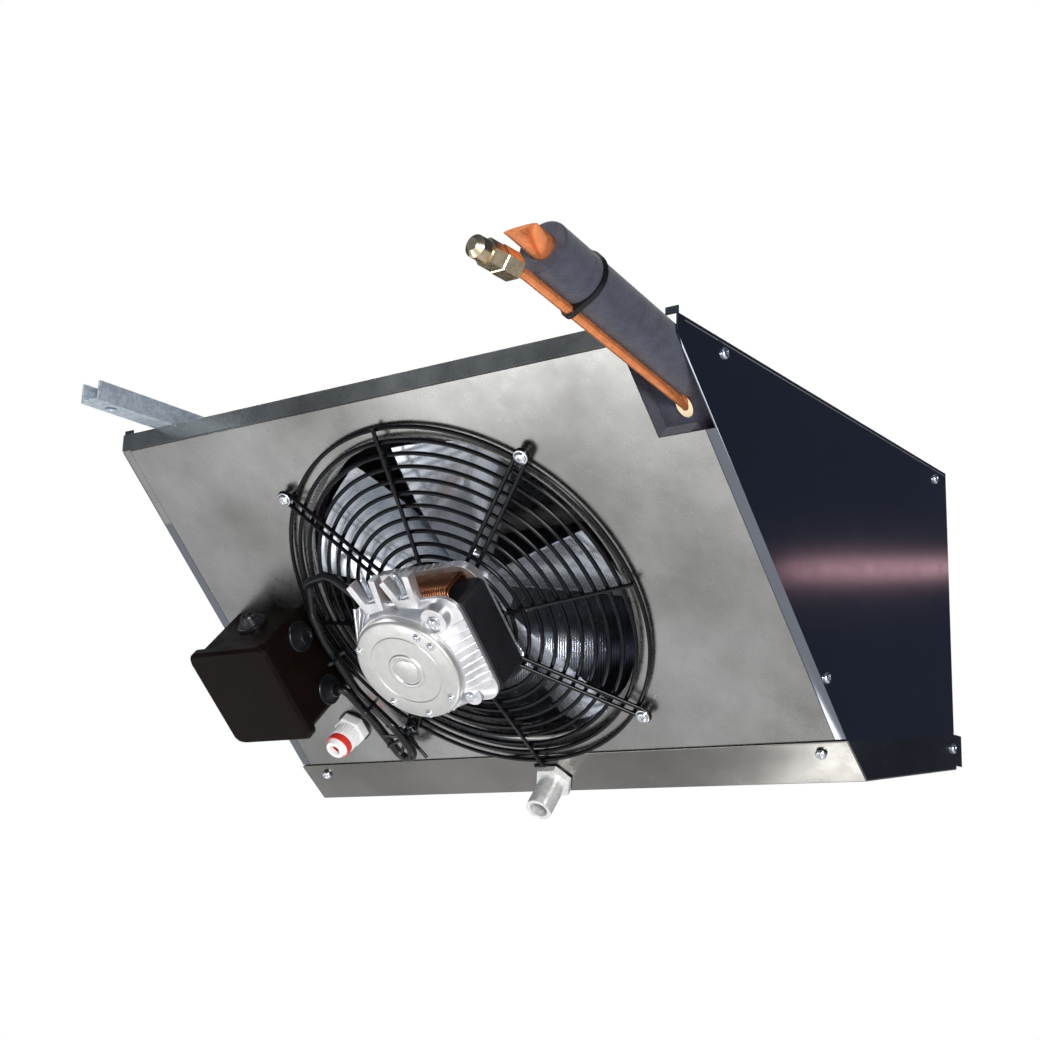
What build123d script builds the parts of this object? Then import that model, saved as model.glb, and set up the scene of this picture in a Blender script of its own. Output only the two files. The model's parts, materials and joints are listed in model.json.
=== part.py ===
from build123d import *
import os
from math import atan, cos, degrees, radians, sin, tan

# Ceiling-hung unit cooler: one axial fan on a sloping panel, a finned coil, a drip tray and its pipes.
# Frame: +X to the right as seen from the fan side, +Y to the back, +Z up, all lengths in millimetres.
# The origin is the middle of the four hanging holes, on the upper face of the rails' webs.

# ---------------------------------------------------------------- driving dimensions
width = 500.0             # casing, over the side panels
depth = 408.0             # casing, lip to rear face
sheet = 1.2               # sheet metal of the casing
fit = 0.1                 # clearance between fixed pieces that slip into each other
lip_height = 12.8         # vertical front edge of the top panel
slope_angle = 44.66       # fan panel, below the horizontal
slope_length = 313.2      # lip to tray, along the fan panel
bend_radius = 4.2         # outer bend along the top of each side panel
panel_tab = 9.0           # fan panel's upper edge, behind the lip
panel_lap = 18.0          # fan panel's foot, behind the tray front

tray_front_length = 36.5  # tray front wall, along its slope
tray_front_angle = 39.2   # tray front wall, below the horizontal
tray_rear_drop = 207.6    # casing top to the tray's rear rim
tray_rear_height = 25.2   # tray rear wall
tray_lap = 20.0           # how far the side panels reach down inside the tray
tray_ear = 10.0           # tray side wall behind the rear wall
tray_ear_height = 23.2
drain_thread = 9.0        # drain spigot through the tray
drain_clearance = 14.0    # cut-out of the fan panel's foot round the drain
drain_drop = 22.5         # foot of the fan panel to the drain, along the tray front

edge_strip = 8.0          # side panel flange that shows beside the fan panel
edge_groove = 0.4         # groove between that flange and the fan panel
lap_width = 12.0          # hidden step of the flange, behind the fan panel
top_flange = 20.0         # inward flange that carries the top panel
flange_start = 45.0       # that flange begins this far behind the lip
rear_fold = 25.0          # rear down-turned edge of the top panel
tab_height = 3.5          # corner tab of each side panel, above the casing top
tab_width = 9.0

lip_margin = 25.5         # lip to the collar's flange, along the slope
foot_margin = 0.7         # collar's flange to the foot of the slope
collar_flange = 6.0
mouth_radius = 6.0        # rounded mouth of the collar
tip_gap = 4.5             # impeller tip to collar
collar_depth = 23.0
lug_margin = 15.2         # guard screws, outside the collar's mouth

rail_width = 19.0
rail_height = 15.0
rail_sheet = 1.5
rail_overhang = 70.0      # beyond the casing, front and rear
rail_inset = 45.0         # rail's middle to the casing's side
hanging_inset = 20.0      # hanging hole to the rail's end
hanging_radius = 4.5
rail_bolt_reach = 105.0   # rail bolts, front and rear of the middle
rail_bolt_radius = 3.0
rail_nut_apothem = 5.0
rail_head_height = 4.0
rail_nut_height = 5.0
rail_bolt_end = 6.0       # bolt below the casing's top sheet

notch_width = 42.0        # pipe notch, from the casing's right side
notch_drop = 68.3         # notch foot, along the slope
notch_depth = 22.0        # notch in the top panel, behind the lip front

screw_radius = 2.0        # all sheet-metal and motor screws
screw_head_radius = 4.0
screw_head_height = 2.4
screw_reach = 9.0         # screws behind the sheet under their heads
side_screw_front = 57.0   # side screws: behind the front edge, before the rear edge, low in the middle
side_screw_rear = 22.0
side_screw_middle = 193.0
side_screw_drops = (10.0, 10.8, 194.5)
tray_screw_rear = 6.0     # tray's side screw, before the rear edge
tray_screw_low = 10.9     # tray's side screw, below the rim
tray_screw_inset = 22.0   # tray's front screws, from the sides
tray_screw_drop = 9.0     # foot of the fan panel to the tray's front screws

coil_left_gap = 35.0      # casing's left side to the left end plate
coil_right_gap = 65.0     # casing's right side to the right end plate
coil_top_drop = 35.0      # casing top to the uppermost tube
coil_rear_gap = 30.0      # casing rear to the rear row of tubes
tube_pitch = 30.0
tubes_high = 6
coil_tube_radius = 6.0
tube_stub = 6.0           # tube beyond the end plates
fin_pitch = 7.0
fin_sheet = 0.4

suction_radius = 8.0
suction_inset = 18.0      # suction pipe to the casing's right side
foam_radius = 16.5
foam_rise = 8.9           # pipes, above the horizontal towards the front
foam_reach = 113.0        # foam end in front of the casing
foam_end_z = 1.1
foam_length = 165.0       # whole length of the foam
spade_length = 21.0       # crimped pipe end beyond the foam
spade_width = 23.0
spade_thickness = 2.6
spade_spread = 2.25       # half way along the crimp: wider and flatter than the pipe
spade_pinch = 3.0
suction_run = 20.0        # straight pipe behind the foam
suction_bends = [200.0, 18.0]
reducer_length = 14.0
liquid_radius = 3.175
liquid_offset = (-4.8, -19.4)   # liquid tube beside the foam: right, up across the pipes
liquid_reach = 7.0        # liquid tube beyond the foam, before it levels out
liquid_tip = 16.0         # level end of the liquid tube
liquid_run = 40.0         # straight tube behind the foam
liquid_foot = 44.0        # tube level with the lowest coil tube, before it turns
liquid_bends = [60.0, 40.0, 25.0, 12.0]
nut_back = 7.0            # flare nut behind the bend of the liquid tube
nut_length = 17.0
nut_flats = 15.0
nut_taper = (2.5, 1.6)
nut_edge = 0.8
nut_socket = 7.0
plug_radius = 4.9
plug_length = 22.0
plug_flat_step = 0.5      # plug's hexagon inside the nut's
plug_nose_step = 1.0      # plug's round nose inside the nut's flats
plug_nose = 3.0
tie_place = 38.0          # pipe tie behind the foam's end
tie_wall = 1.3
tie_width = 3.6
tie_tail = (6.5, 5.0)
tie_tail_turn = 35.0
tie_tail_place = (-9.9, 14.0)
seal_depth = 13.0         # recessed face of the foam seal
seal_thickness = 12.0
seal_rim = 8.0
seal_top = 11.0           # seal's upper edge below the lip
bush_radii = (5.4, 8.2)   # oval collar round the liquid tube on the seal
bush_thickness = 1.6

gland_place = (-168.8, -105.3)  # from the fan's axis: right, up the slope
gland_radius = 8.0
gland_bore = 4.5

box_gap = 2.3             # junction box to the guard's screws
box_size = (77.0, 81.0)
box_low = -70.0           # box's lower edge, from the fan's axis
box_height = 52.0
box_wall = 2.0
box_corner = 7.0
box_cable_inset = (41.0, 40.0)  # cable hole behind the box, from its lower right corner
box_cable_radius = 9.0

# ---------------------------------------------------------------- places worked out from them
front_y = -depth / 2
rear_y = depth / 2
top_z = -rail_sheet
lip_z = top_z - lip_height
half_width = width / 2
inner_x = half_width - sheet
rail_centre = half_width - rail_inset
notch_left = half_width - notch_width
coil_left = coil_left_gap - half_width
coil_right = half_width - coil_right_gap
suction_x = half_width - suction_inset
collar_reach = (slope_length - lip_margin - foot_margin) / 2
fan_drop = lip_margin + collar_reach
mouth_edge = collar_reach - collar_flange
collar_radius = mouth_edge - mouth_radius
impeller_radius = collar_radius - tip_gap
lug_reach = mouth_edge + lug_margin
box_right = -lug_reach - box_gap
box_middle = (box_right - box_size[0] / 2, box_low + box_size[1] / 2)
box_cable_place = (box_right - box_cable_inset[0], box_low + box_cable_inset[1])
slope_y, slope_z = cos(radians(slope_angle)), -sin(radians(slope_angle))
tray_y, tray_z = cos(radians(tray_front_angle)), -sin(radians(tray_front_angle))


def down_slope(drop, lift=0.0):
    """(y, z) of a point down the fan panel from the lip, lifted off its outer face."""
    return (front_y + drop * slope_y + lift * slope_z, lip_z + drop * slope_z - lift * slope_y)


def down_tray(drop, lift=0.0):
    """(y, z) of a point down the inner face of the tray front from the foot of the fan panel."""
    foot_y, foot_z = down_slope(slope_length)
    return (foot_y + drop * tray_y + lift * tray_z, foot_z + drop * tray_z - lift * tray_y)


slope_out = Vector(0, slope_z, -slope_y)
fan_centre = Vector(0, *down_slope(fan_drop))
fan_plane = Plane(origin=fan_centre, x_dir=(1, 0, 0), z_dir=slope_out)
fan_section = Plane(origin=fan_centre, x_dir=(1, 0, 0), z_dir=Vector(1, 0, 0).cross(slope_out))
fan_axis = Axis(fan_centre, slope_out)
tray_rim_z = top_z - tray_rear_drop
drain_plane = Plane(origin=(0, *down_tray(drain_drop, sheet)), x_dir=(1, 0, 0), z_dir=(0, tray_z, -tray_y))
tray_screw_plane = Plane(
    origin=(0, *down_tray(tray_screw_drop, sheet)), x_dir=(1, 0, 0), z_dir=drain_plane.z_dir
)
tray_front_screws = [(side * (half_width - tray_screw_inset), 0) for side in (-1, 1)]
tray_side_screw = (rear_y - tray_screw_rear, tray_rim_z - tray_screw_low)
side_screw_rows = (front_y + side_screw_front, rear_y - side_screw_rear, front_y + side_screw_middle)
side_screw_places = [(row, top_z - drop) for row, drop in zip(side_screw_rows, side_screw_drops)]

os.makedirs("parts", exist_ok=True)


def export_piece(piece, label):
    piece.part.label = label
    export_step(piece.part, f"parts/{label}.step")


# ---------------------------------------------------------------- casing
rail_bolts = [(x, y) for x in (-rail_centre, rail_centre) for y in (-rail_bolt_reach, rail_bolt_reach)]

with BuildPart() as top_panel:
    with BuildSketch(Plane.YZ):
        with BuildLine():
            Polyline((front_y, lip_z), (front_y, top_z), (rear_y, top_z), (rear_y, top_z - rear_fold))
            offset(amount=sheet, side=Side.RIGHT)
        make_face()
    extrude(amount=half_width, both=True)
    with BuildSketch(Plane.XY.offset(top_z)):
        for side in (-1, 1):
            with Locations((side * half_width, sheet / 2)):
                Rectangle(2 * bend_radius, depth - sheet)
            with Locations((side * half_width, front_y + sheet)):
                Rectangle(2 * (tab_width + fit), 3 * sheet, align=(Align.CENTER, Align.MIN))
        with Locations((half_width, front_y + notch_depth)):
            Rectangle(2 * (half_width - notch_left), 2 * notch_depth, align=(Align.CENTER, Align.MAX))
    extrude(amount=-rear_fold, mode=Mode.SUBTRACT)
    with BuildSketch(Plane.XY.offset(top_z)):
        with Locations(*rail_bolts):
            Circle(rail_bolt_radius + fit)
    extrude(amount=-sheet, mode=Mode.SUBTRACT)
export_piece(top_panel, "top_panel")

# The flange along the slope shows as a narrow strip; its hidden step carries the fan panel.
rear_flange = {-1: half_width + coil_left - sheet, 1: half_width - coil_right - sheet}
side_front_y = front_y + sheet + fit
for side, label in ((-1, "side_panel_left"), (1, "side_panel_right")):
    with BuildPart() as side_panel:
        with BuildSketch(Plane.YZ.offset(side * half_width)):
            Polygon(
                (side_front_y, top_z - sheet),
                (side_front_y, lip_z - (side_front_y - front_y) * tan(radians(slope_angle))),
                down_slope(slope_length),
                down_tray(tray_lap, -fit),
                (rear_y, tray_rim_z - tray_lap),
                (rear_y, top_z - sheet),
                align=None,
            )
        extrude(amount=-side * sheet)
        with BuildSketch(Plane.XY.offset(top_z - sheet)):
            with Locations((side * (half_width - top_flange / 2), (flange_start - sheet - fit) / 2)):
                Rectangle(top_flange, depth - flange_start - sheet - fit)
        extrude(amount=-sheet)
        inner_bend = side_panel.edges().filter_by(Axis.Y).filter_by(
            lambda edge: abs(abs(edge.center().X) - inner_x) < fit
            and abs(edge.center().Z - top_z + 2 * sheet) < fit
        )
        fillet(inner_bend, bend_radius - sheet)
        with BuildSketch(Plane.XZ.offset(-rear_y)):
            with Locations((side * (half_width - rear_flange[side]), top_z - rear_fold - fit)):
                Rectangle(
                    rear_flange[side],
                    tray_rear_drop + tray_lap - rear_fold - fit,
                    align=(Align.MIN if side > 0 else Align.MAX, Align.MAX),
                )
        extrude(amount=sheet)
        with BuildSketch(fan_plane):
            with Locations((side * half_width, fan_drop - slope_length)):
                Rectangle(
                    edge_strip,
                    slope_length - notch_drop,
                    align=(Align.MAX if side > 0 else Align.MIN, Align.MIN),
                )
        extrude(amount=-sheet)
        with BuildSketch(fan_plane.offset(-sheet)):
            with Locations((side * (half_width - edge_strip + sheet), fan_drop - slope_length)):
                Rectangle(
                    lap_width,
                    slope_length - notch_drop,
                    align=(Align.MAX if side > 0 else Align.MIN, Align.MIN),
                )
        extrude(amount=-sheet)
        with BuildSketch(Plane.XZ.offset(-side_front_y)):
            with Locations((side * half_width, top_z - sheet)):
                Rectangle(
                    tab_width,
                    tab_height + sheet,
                    align=(Align.MAX if side > 0 else Align.MIN, Align.MIN),
                )
        extrude(amount=-sheet)
        with BuildSketch(Plane.YZ.offset(side * half_width)):
            with Locations(*side_screw_places, tray_side_screw):
                Circle(screw_radius + fit)
        extrude(amount=-side * 2 * sheet, mode=Mode.SUBTRACT)
    export_piece(side_panel, label)

panel_half = half_width - edge_strip - edge_groove
with BuildPart() as fan_panel:
    with BuildSketch(Plane.YZ):
        with BuildLine():
            Polyline(
                (front_y + sheet, lip_z + panel_tab),
                (front_y + sheet, lip_z - sheet * tan(radians(slope_angle))),
                down_slope(slope_length),
                down_tray(panel_lap),
            )
            offset(amount=sheet, side=Side.LEFT)
        make_face()
    extrude(amount=panel_half, both=True)
    with BuildSketch(fan_plane):
        Circle(mouth_edge)
        with Locations(gland_place):
            Circle(gland_radius + fit)
        with Locations(box_cable_place):
            Circle(box_cable_radius)
        with Locations((notch_left, fan_drop - notch_drop)):
            Rectangle(half_width, width, align=(Align.MIN, Align.MIN))
    extrude(amount=panel_tab + sheet, both=True, mode=Mode.SUBTRACT)
    with BuildSketch(fan_plane):
        with PolarLocations(lug_reach, 4, 45):
            Circle(screw_radius + fit)
    extrude(amount=-2 * sheet, mode=Mode.SUBTRACT)
    with BuildSketch(drain_plane):
        Circle(drain_clearance)
    extrude(amount=-4 * sheet, mode=Mode.SUBTRACT)
    with BuildSketch(tray_screw_plane):
        with Locations(*tray_front_screws):
            Circle(screw_radius + fit)
    extrude(amount=-4 * sheet, mode=Mode.SUBTRACT)
export_piece(fan_panel, "fan_panel")

# The drawn collar lies behind the panel on its flange and rounds off the fan's mouth.
with BuildPart() as fan_collar:
    with BuildSketch(fan_section):
        with BuildLine():
            Polyline(
                (mouth_edge, -2 * sheet),
                (mouth_edge + collar_flange, -2 * sheet),
                (mouth_edge + collar_flange, -sheet),
                (mouth_edge, -sheet),
            )
            mouth = RadiusArc((mouth_edge, -sheet), (collar_radius, -sheet - mouth_radius), mouth_radius)
            Polyline(
                mouth @ 1,
                (collar_radius, -collar_depth),
                (collar_radius + sheet, -collar_depth),
                (collar_radius + sheet, -sheet - mouth_radius),
            )
            RadiusArc(
                (collar_radius + sheet, -sheet - mouth_radius),
                (mouth_edge, -2 * sheet),
                sheet - mouth_radius,
            )
        make_face()
    revolve(axis=fan_axis)
export_piece(fan_collar, "fan_collar")

# The trough inside the tray walls.
trough = (
    down_slope(slope_length),
    down_tray(tray_front_length),
    (rear_y, tray_rim_z - tray_rear_height),
    (rear_y, tray_rim_z),
)
rim_along = Vector(0, *trough[3]) - Vector(0, *trough[0])
rim_plane = Plane(origin=(0, *trough[0]), x_dir=(1, 0, 0), z_dir=Vector(1, 0, 0).cross(rim_along))

with BuildPart() as drip_tray:
    with BuildSketch(Plane.YZ):
        Polygon(*trough, align=None)
        offset(amount=sheet)
    extrude(amount=half_width + sheet, both=True)
    front_corners = drip_tray.edges().filter_by(
        lambda edge: edge.length > tray_front_length / 2 and edge.center().Y < trough[1][0]
        and abs(edge.tangent_at(0.5).X) < fit
    )
    fillet(front_corners, sheet)
    with BuildSketch(Plane.YZ):
        Polygon(*trough, align=None)
    extrude(amount=half_width, both=True, mode=Mode.SUBTRACT)
    split(bisect_by=rim_plane, keep=Keep.BOTTOM)
    with BuildSketch(drain_plane):
        Circle(drain_thread + fit)
    extrude(amount=-3 * sheet, mode=Mode.SUBTRACT)
    with BuildSketch(tray_screw_plane):
        with Locations(*tray_front_screws):
            Circle(screw_radius + fit)
    extrude(amount=-3 * sheet, mode=Mode.SUBTRACT)
    with BuildSketch(Plane.YZ):
        with Locations(tray_side_screw):
            Circle(screw_radius + fit)
    extrude(amount=width, both=True, mode=Mode.SUBTRACT)
    with BuildSketch(Plane.YZ):
        with Locations((rear_y, tray_rim_z)):
            Rectangle(tray_ear + sheet, tray_ear_height, align=(Align.MIN, Align.MAX))
    extrude(amount=half_width + sheet, both=True)
    with BuildSketch(Plane.YZ):
        with Locations((rear_y + sheet, tray_rim_z + sheet)):
            Rectangle(2 * tray_ear, 2 * tray_rear_height, align=(Align.MIN, Align.MAX))
    extrude(amount=half_width, both=True, mode=Mode.SUBTRACT)
export_piece(drip_tray, "drip_tray")

rail_half_length = rear_y + rail_overhang
for side, label in ((-1, "rail_left"), (1, "rail_right")):
    with BuildPart() as rail:
        with BuildSketch(Plane.XZ):
            with Locations((side * rail_centre, top_z)):
                Rectangle(rail_width, rail_height, align=(Align.CENTER, Align.MIN))
            with Locations((side * rail_centre, 0)):
                Rectangle(
                    rail_width - 2 * rail_sheet,
                    rail_height,
                    align=(Align.CENTER, Align.MIN),
                    mode=Mode.SUBTRACT,
                )
        extrude(amount=rail_half_length, both=True)
        with BuildSketch(Plane.XY):
            with Locations((side * rail_centre, 0)):
                with GridLocations(0, 2 * (rail_half_length - hanging_inset), 1, 2):
                    Circle(hanging_radius)
                with GridLocations(0, 2 * rail_bolt_reach, 1, 2):
                    Circle(rail_bolt_radius + fit)
        extrude(amount=-rail_sheet, mode=Mode.SUBTRACT)
    export_piece(rail, label)

with BuildPart() as rail_bolts_part:
    with BuildSketch(Plane.XY):
        with Locations(*rail_bolts):
            RegularPolygon(rail_nut_apothem, 6, major_radius=False)
    extrude(amount=rail_head_height)
    with BuildSketch(Plane.XY):
        with Locations(*rail_bolts):
            Circle(rail_bolt_radius)
    extrude(amount=top_z - sheet - rail_bolt_end)
export_piece(rail_bolts_part, "rail_bolts")

with BuildPart() as rail_nuts:
    with BuildSketch(Plane.XY.offset(top_z - sheet)):
        with Locations(*rail_bolts):
            RegularPolygon(rail_nut_apothem, 6, major_radius=False)
            Circle(rail_bolt_radius + fit / 2, mode=Mode.SUBTRACT)
    extrude(amount=-rail_nut_height)
export_piece(rail_nuts, "rail_nuts")

# ---------------------------------------------------------------- coil
tube_rows = (rear_y - coil_rear_gap - tube_pitch, rear_y - coil_rear_gap)
tube_heights = [top_z - coil_top_drop - tube_pitch * place for place in range(tubes_high)]
coil_middle = (
    (coil_left + coil_right) / 2,
    (tube_rows[0] + tube_rows[1]) / 2,
    (tube_heights[0] + tube_heights[-1]) / 2,
)
coil_depth = 2 * tube_pitch
coil_height = tubes_high * tube_pitch
fin_count = int((coil_right - coil_left - 2 * sheet) / fin_pitch)

with BuildPart() as coil_fins:
    with Locations(coil_middle):
        with GridLocations(fin_pitch, 0, fin_count, 1):
            Box(fin_sheet, coil_depth, coil_height)
export_piece(coil_fins, "coil_fins")

end_plate_edge = 4.0
end_plate_flange = 14.0
for plate_x, inward, label in (
    (coil_left, 1, "coil_end_plate_left"),
    (coil_right, -1, "coil_end_plate_right"),
):
    with BuildPart() as end_plate:
        with BuildSketch(Plane.YZ.offset(plate_x)):
            with Locations((coil_middle[1], top_z - sheet)):
                Rectangle(
                    coil_depth + 2 * end_plate_edge,
                    top_z - sheet - tube_heights[-1] + tube_pitch / 2 + end_plate_edge,
                    align=(Align.CENTER, Align.MAX),
                )
        extrude(amount=inward * sheet)
        with BuildSketch(Plane.XY.offset(top_z - sheet)):
            with Locations((plate_x, coil_middle[1])):
                Rectangle(
                    end_plate_flange,
                    coil_depth + 2 * end_plate_edge,
                    align=(Align.MIN if inward > 0 else Align.MAX, Align.CENTER),
                )
        extrude(amount=-sheet)
    export_piece(end_plate, label)

# The tubes are hairpins, bent at the left and joined by return bends at the right.
# A bend is a mitred elbow round half a turn; its corners lie outside the arc through the tube axes.
left_x = coil_left - tube_stub
right_x = coil_right + tube_stub


def bend_corners(start, end, outward, count):
    """Corners of a return bend from one tube end to the other, bulging along outward."""
    middle = (start + end) / 2
    along = (end - start).normalized()
    reach = (end - start).length / 2 / cos(radians(90 / count))
    turns = [radians(180 * (corner + 0.5) / count) for corner in range(count)]
    return [middle - along * reach * cos(turn) + outward * reach * sin(turn) for turn in turns]


with BuildPart() as coil_hairpins:
    for height in tube_heights:
        bend_ends = [Vector(left_x, row, height) for row in tube_rows]
        with BuildLine() as hairpin_line:
            Polyline(
                (right_x, tube_rows[0], height),
                *bend_corners(*bend_ends, Vector(-1, 0, 0), 3),
                (right_x, tube_rows[1], height),
            )
        with BuildSketch(Plane.YZ.offset(right_x)):
            with Locations((tube_rows[0], height)):
                Circle(coil_tube_radius)
        sweep(path=hairpin_line.wires()[0], transition=Transition.RIGHT)
export_piece(coil_hairpins, "coil_hairpins")

with BuildPart() as return_bends:
    for place in range(tubes_high - 1):
        row = tube_rows[(place + 1) % 2]
        bend_ends = [Vector(right_x, row, height) for height in tube_heights[place:place + 2]]
        with BuildLine() as bend_line:
            Polyline(bend_ends[0], *bend_corners(*bend_ends, Vector(1, 0, 0), 2), bend_ends[1])
        with BuildSketch(Plane.YZ.offset(right_x)):
            with Locations((row, tube_heights[place])):
                Circle(coil_tube_radius)
        sweep(path=bend_line.wires()[0], transition=Transition.RIGHT)
export_piece(return_bends, "return_bends")

# ---------------------------------------------------------------- pipes
pipe_dir = Vector(0, -cos(radians(foam_rise)), sin(radians(foam_rise)))
pipe_up = Vector(0, sin(radians(foam_rise)), cos(radians(foam_rise)))
foam_end = Vector(suction_x, front_y - foam_reach, foam_end_z)
pipe_plane = Plane(origin=foam_end, x_dir=(1, 0, 0), z_dir=pipe_dir)
liquid_end = foam_end + Vector(liquid_offset[0], 0, 0) + pipe_up * liquid_offset[1]
reducer_x = coil_right + tube_stub + reducer_length

for height, pipe_radius, label in (
    (tube_heights[0], suction_radius, "suction_reducer"),
    (tube_heights[-1], liquid_radius, "liquid_reducer"),
):
    with BuildPart() as reducer:
        with Locations(Plane(origin=(right_x, tube_rows[0], height), x_dir=(0, 1, 0), z_dir=(1, 0, 0))):
            Cone(coil_tube_radius, pipe_radius, reducer_length, align=(Align.CENTER, Align.CENTER, Align.MIN))
    export_piece(reducer, label)

with BuildPart() as suction_pipe:
    with BuildLine() as suction_line:
        FilletPolyline(
            foam_end,
            foam_end - pipe_dir * (foam_length + suction_run),
            (suction_x, tube_rows[0], tube_heights[0]),
            (reducer_x, tube_rows[0], tube_heights[0]),
            radius=suction_bends,
        )
    with BuildSketch(pipe_plane):
        Circle(suction_radius)
    sweep(path=suction_line.wires()[0])
    with BuildSketch(pipe_plane):
        Circle(suction_radius)
    with BuildSketch(pipe_plane.offset(spade_length / 2)):
        Ellipse(suction_radius + spade_spread, suction_radius - spade_pinch)
    with BuildSketch(pipe_plane.offset(spade_length)):
        Ellipse(spade_width / 2, spade_thickness / 2)
    loft()
export_piece(suction_pipe, "suction_pipe")

with BuildPart() as pipe_insulation:
    with BuildSketch(pipe_plane):
        Circle(foam_radius)
        Circle(suction_radius + fit, mode=Mode.SUBTRACT)
    extrude(amount=-foam_length)
export_piece(pipe_insulation, "pipe_insulation")

# The liquid tube follows the foam, levels out in front of it and drops to the lowest coil tube inside.
liquid_bend = liquid_end + pipe_dir * liquid_reach
liquid_tip_y = liquid_bend.Y - liquid_tip
with BuildPart() as liquid_tube:
    with BuildLine() as liquid_line:
        FilletPolyline(
            (liquid_bend.X, liquid_tip_y, liquid_bend.Z),
            liquid_bend,
            liquid_end - pipe_dir * (foam_length + liquid_run),
            (liquid_bend.X, tube_rows[0] - liquid_foot, tube_heights[-1]),
            (liquid_bend.X, tube_rows[0], tube_heights[-1]),
            (reducer_x, tube_rows[0], tube_heights[-1]),
            radius=liquid_bends,
        )
    with BuildSketch(Plane.XZ.offset(-liquid_tip_y)):
        with Locations((liquid_bend.X, liquid_bend.Z)):
            Circle(liquid_radius)
    sweep(path=liquid_line.wires()[0])
export_piece(liquid_tube, "liquid_tube")

# Flare nut on the liquid tube, and the sealing plug screwed into it.
nut_rear = liquid_bend.Y - nut_back
fitting_place = (liquid_bend.X, liquid_bend.Z)

with BuildPart() as flare_nut:
    with BuildSketch(Plane.XZ.offset(-nut_rear)):
        with Locations(fitting_place):
            RegularPolygon(nut_flats / 2, 6, major_radius=False)
    extrude(amount=nut_length)
    chamfer(flare_nut.faces().sort_by(Axis.Y)[-1].edges(), *nut_taper)
    chamfer(flare_nut.faces().sort_by(Axis.Y)[0].edges(), nut_edge)
    with BuildSketch(Plane.XZ.offset(-nut_rear)):
        with Locations(fitting_place):
            Circle(liquid_radius + fit)
    extrude(amount=nut_length, mode=Mode.SUBTRACT)
    with BuildSketch(Plane.XZ.offset(-nut_rear + nut_length)):
        with Locations(fitting_place):
            Circle(plug_radius + fit)
    extrude(amount=-nut_socket, mode=Mode.SUBTRACT)
export_piece(flare_nut, "flare_nut")

with BuildPart() as flare_plug:
    with BuildSketch(Plane.XZ.offset(-nut_rear + nut_length)):
        with Locations(fitting_place):
            RegularPolygon(nut_flats / 2 - plug_flat_step, 6, major_radius=False)
    extrude(amount=plug_length / 2)
    with BuildSketch(Plane.XZ.offset(-nut_rear + nut_length)):
        with Locations(fitting_place):
            Circle(plug_radius)
    extrude(amount=plug_flat_step - nut_socket)
    with BuildSketch(Plane.XZ.offset(-nut_rear + nut_length + plug_length / 2)):
        with Locations(fitting_place):
            Circle(nut_flats / 2 - plug_nose_step)
    extrude(amount=plug_length / 2)
    chamfer(flare_plug.faces().sort_by(Axis.Y)[0].edges(), plug_nose)
export_piece(flare_plug, "flare_plug")

with BuildPart() as pipe_tie:
    with BuildSketch(pipe_plane.offset(-tie_place)):
        Circle(foam_radius + fit + tie_wall)
        with Locations(liquid_offset):
            Circle(liquid_radius + fit + tie_wall)
        make_hull()
        with Locations(tie_tail_place):
            Rectangle(*tie_tail, rotation=tie_tail_turn)
        Circle(foam_radius + fit, mode=Mode.SUBTRACT)
        with Locations(liquid_offset):
            Circle(liquid_radius + fit, mode=Mode.SUBTRACT)
    extrude(amount=tie_width / 2, both=True)
export_piece(pipe_tie, "pipe_tie")

# The foam seal fills the pipe notch behind the fan panel, open towards the top for the insulated pipe.
seal_left = notch_left - seal_rim
seal_foot = fan_drop - notch_drop - seal_rim
with BuildPart() as pipe_seal:
    with BuildSketch(fan_plane.offset(-seal_depth)):
        with Locations((seal_left, seal_foot)):
            Rectangle(inner_x - seal_left, fan_drop - seal_top - seal_foot, align=(Align.MIN, Align.MIN))
    extrude(amount=-seal_thickness)
    with BuildSketch(fan_plane.offset(-sheet)):
        with Locations((seal_left, seal_foot)):
            Rectangle(seal_rim, fan_drop - seal_top - seal_foot, align=(Align.MIN, Align.MIN))
            Rectangle(
                half_width - edge_strip + sheet - lap_width - fit - seal_left,
                seal_rim,
                align=(Align.MIN, Align.MIN),
            )
    extrude(amount=-seal_depth)
    with BuildSketch(pipe_plane):
        Circle(foam_radius + fit)
        with Locations(liquid_offset):
            Circle(liquid_radius + fit)
    extrude(amount=-foam_length - foam_reach, mode=Mode.SUBTRACT)
export_piece(pipe_seal, "pipe_seal")

seal_face = fan_plane.offset(-seal_depth)
seal_crossing = liquid_end - pipe_dir * (
    ((liquid_end - seal_face.origin).dot(slope_out)) / pipe_dir.dot(slope_out)
)
with BuildPart() as liquid_bush:
    with BuildSketch(seal_face):
        with Locations(seal_face.to_local_coords(seal_crossing)):
            Ellipse(*bush_radii)
    extrude(amount=bush_thickness)
    with BuildSketch(pipe_plane):
        with Locations(liquid_offset):
            Circle(liquid_radius + fit)
    extrude(amount=-foam_length - foam_reach, mode=Mode.SUBTRACT)
    with BuildSketch(pipe_plane):
        Circle(foam_radius + fit)
    extrude(amount=-foam_length - foam_reach, mode=Mode.SUBTRACT)
export_piece(liquid_bush, "liquid_bush")

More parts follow.
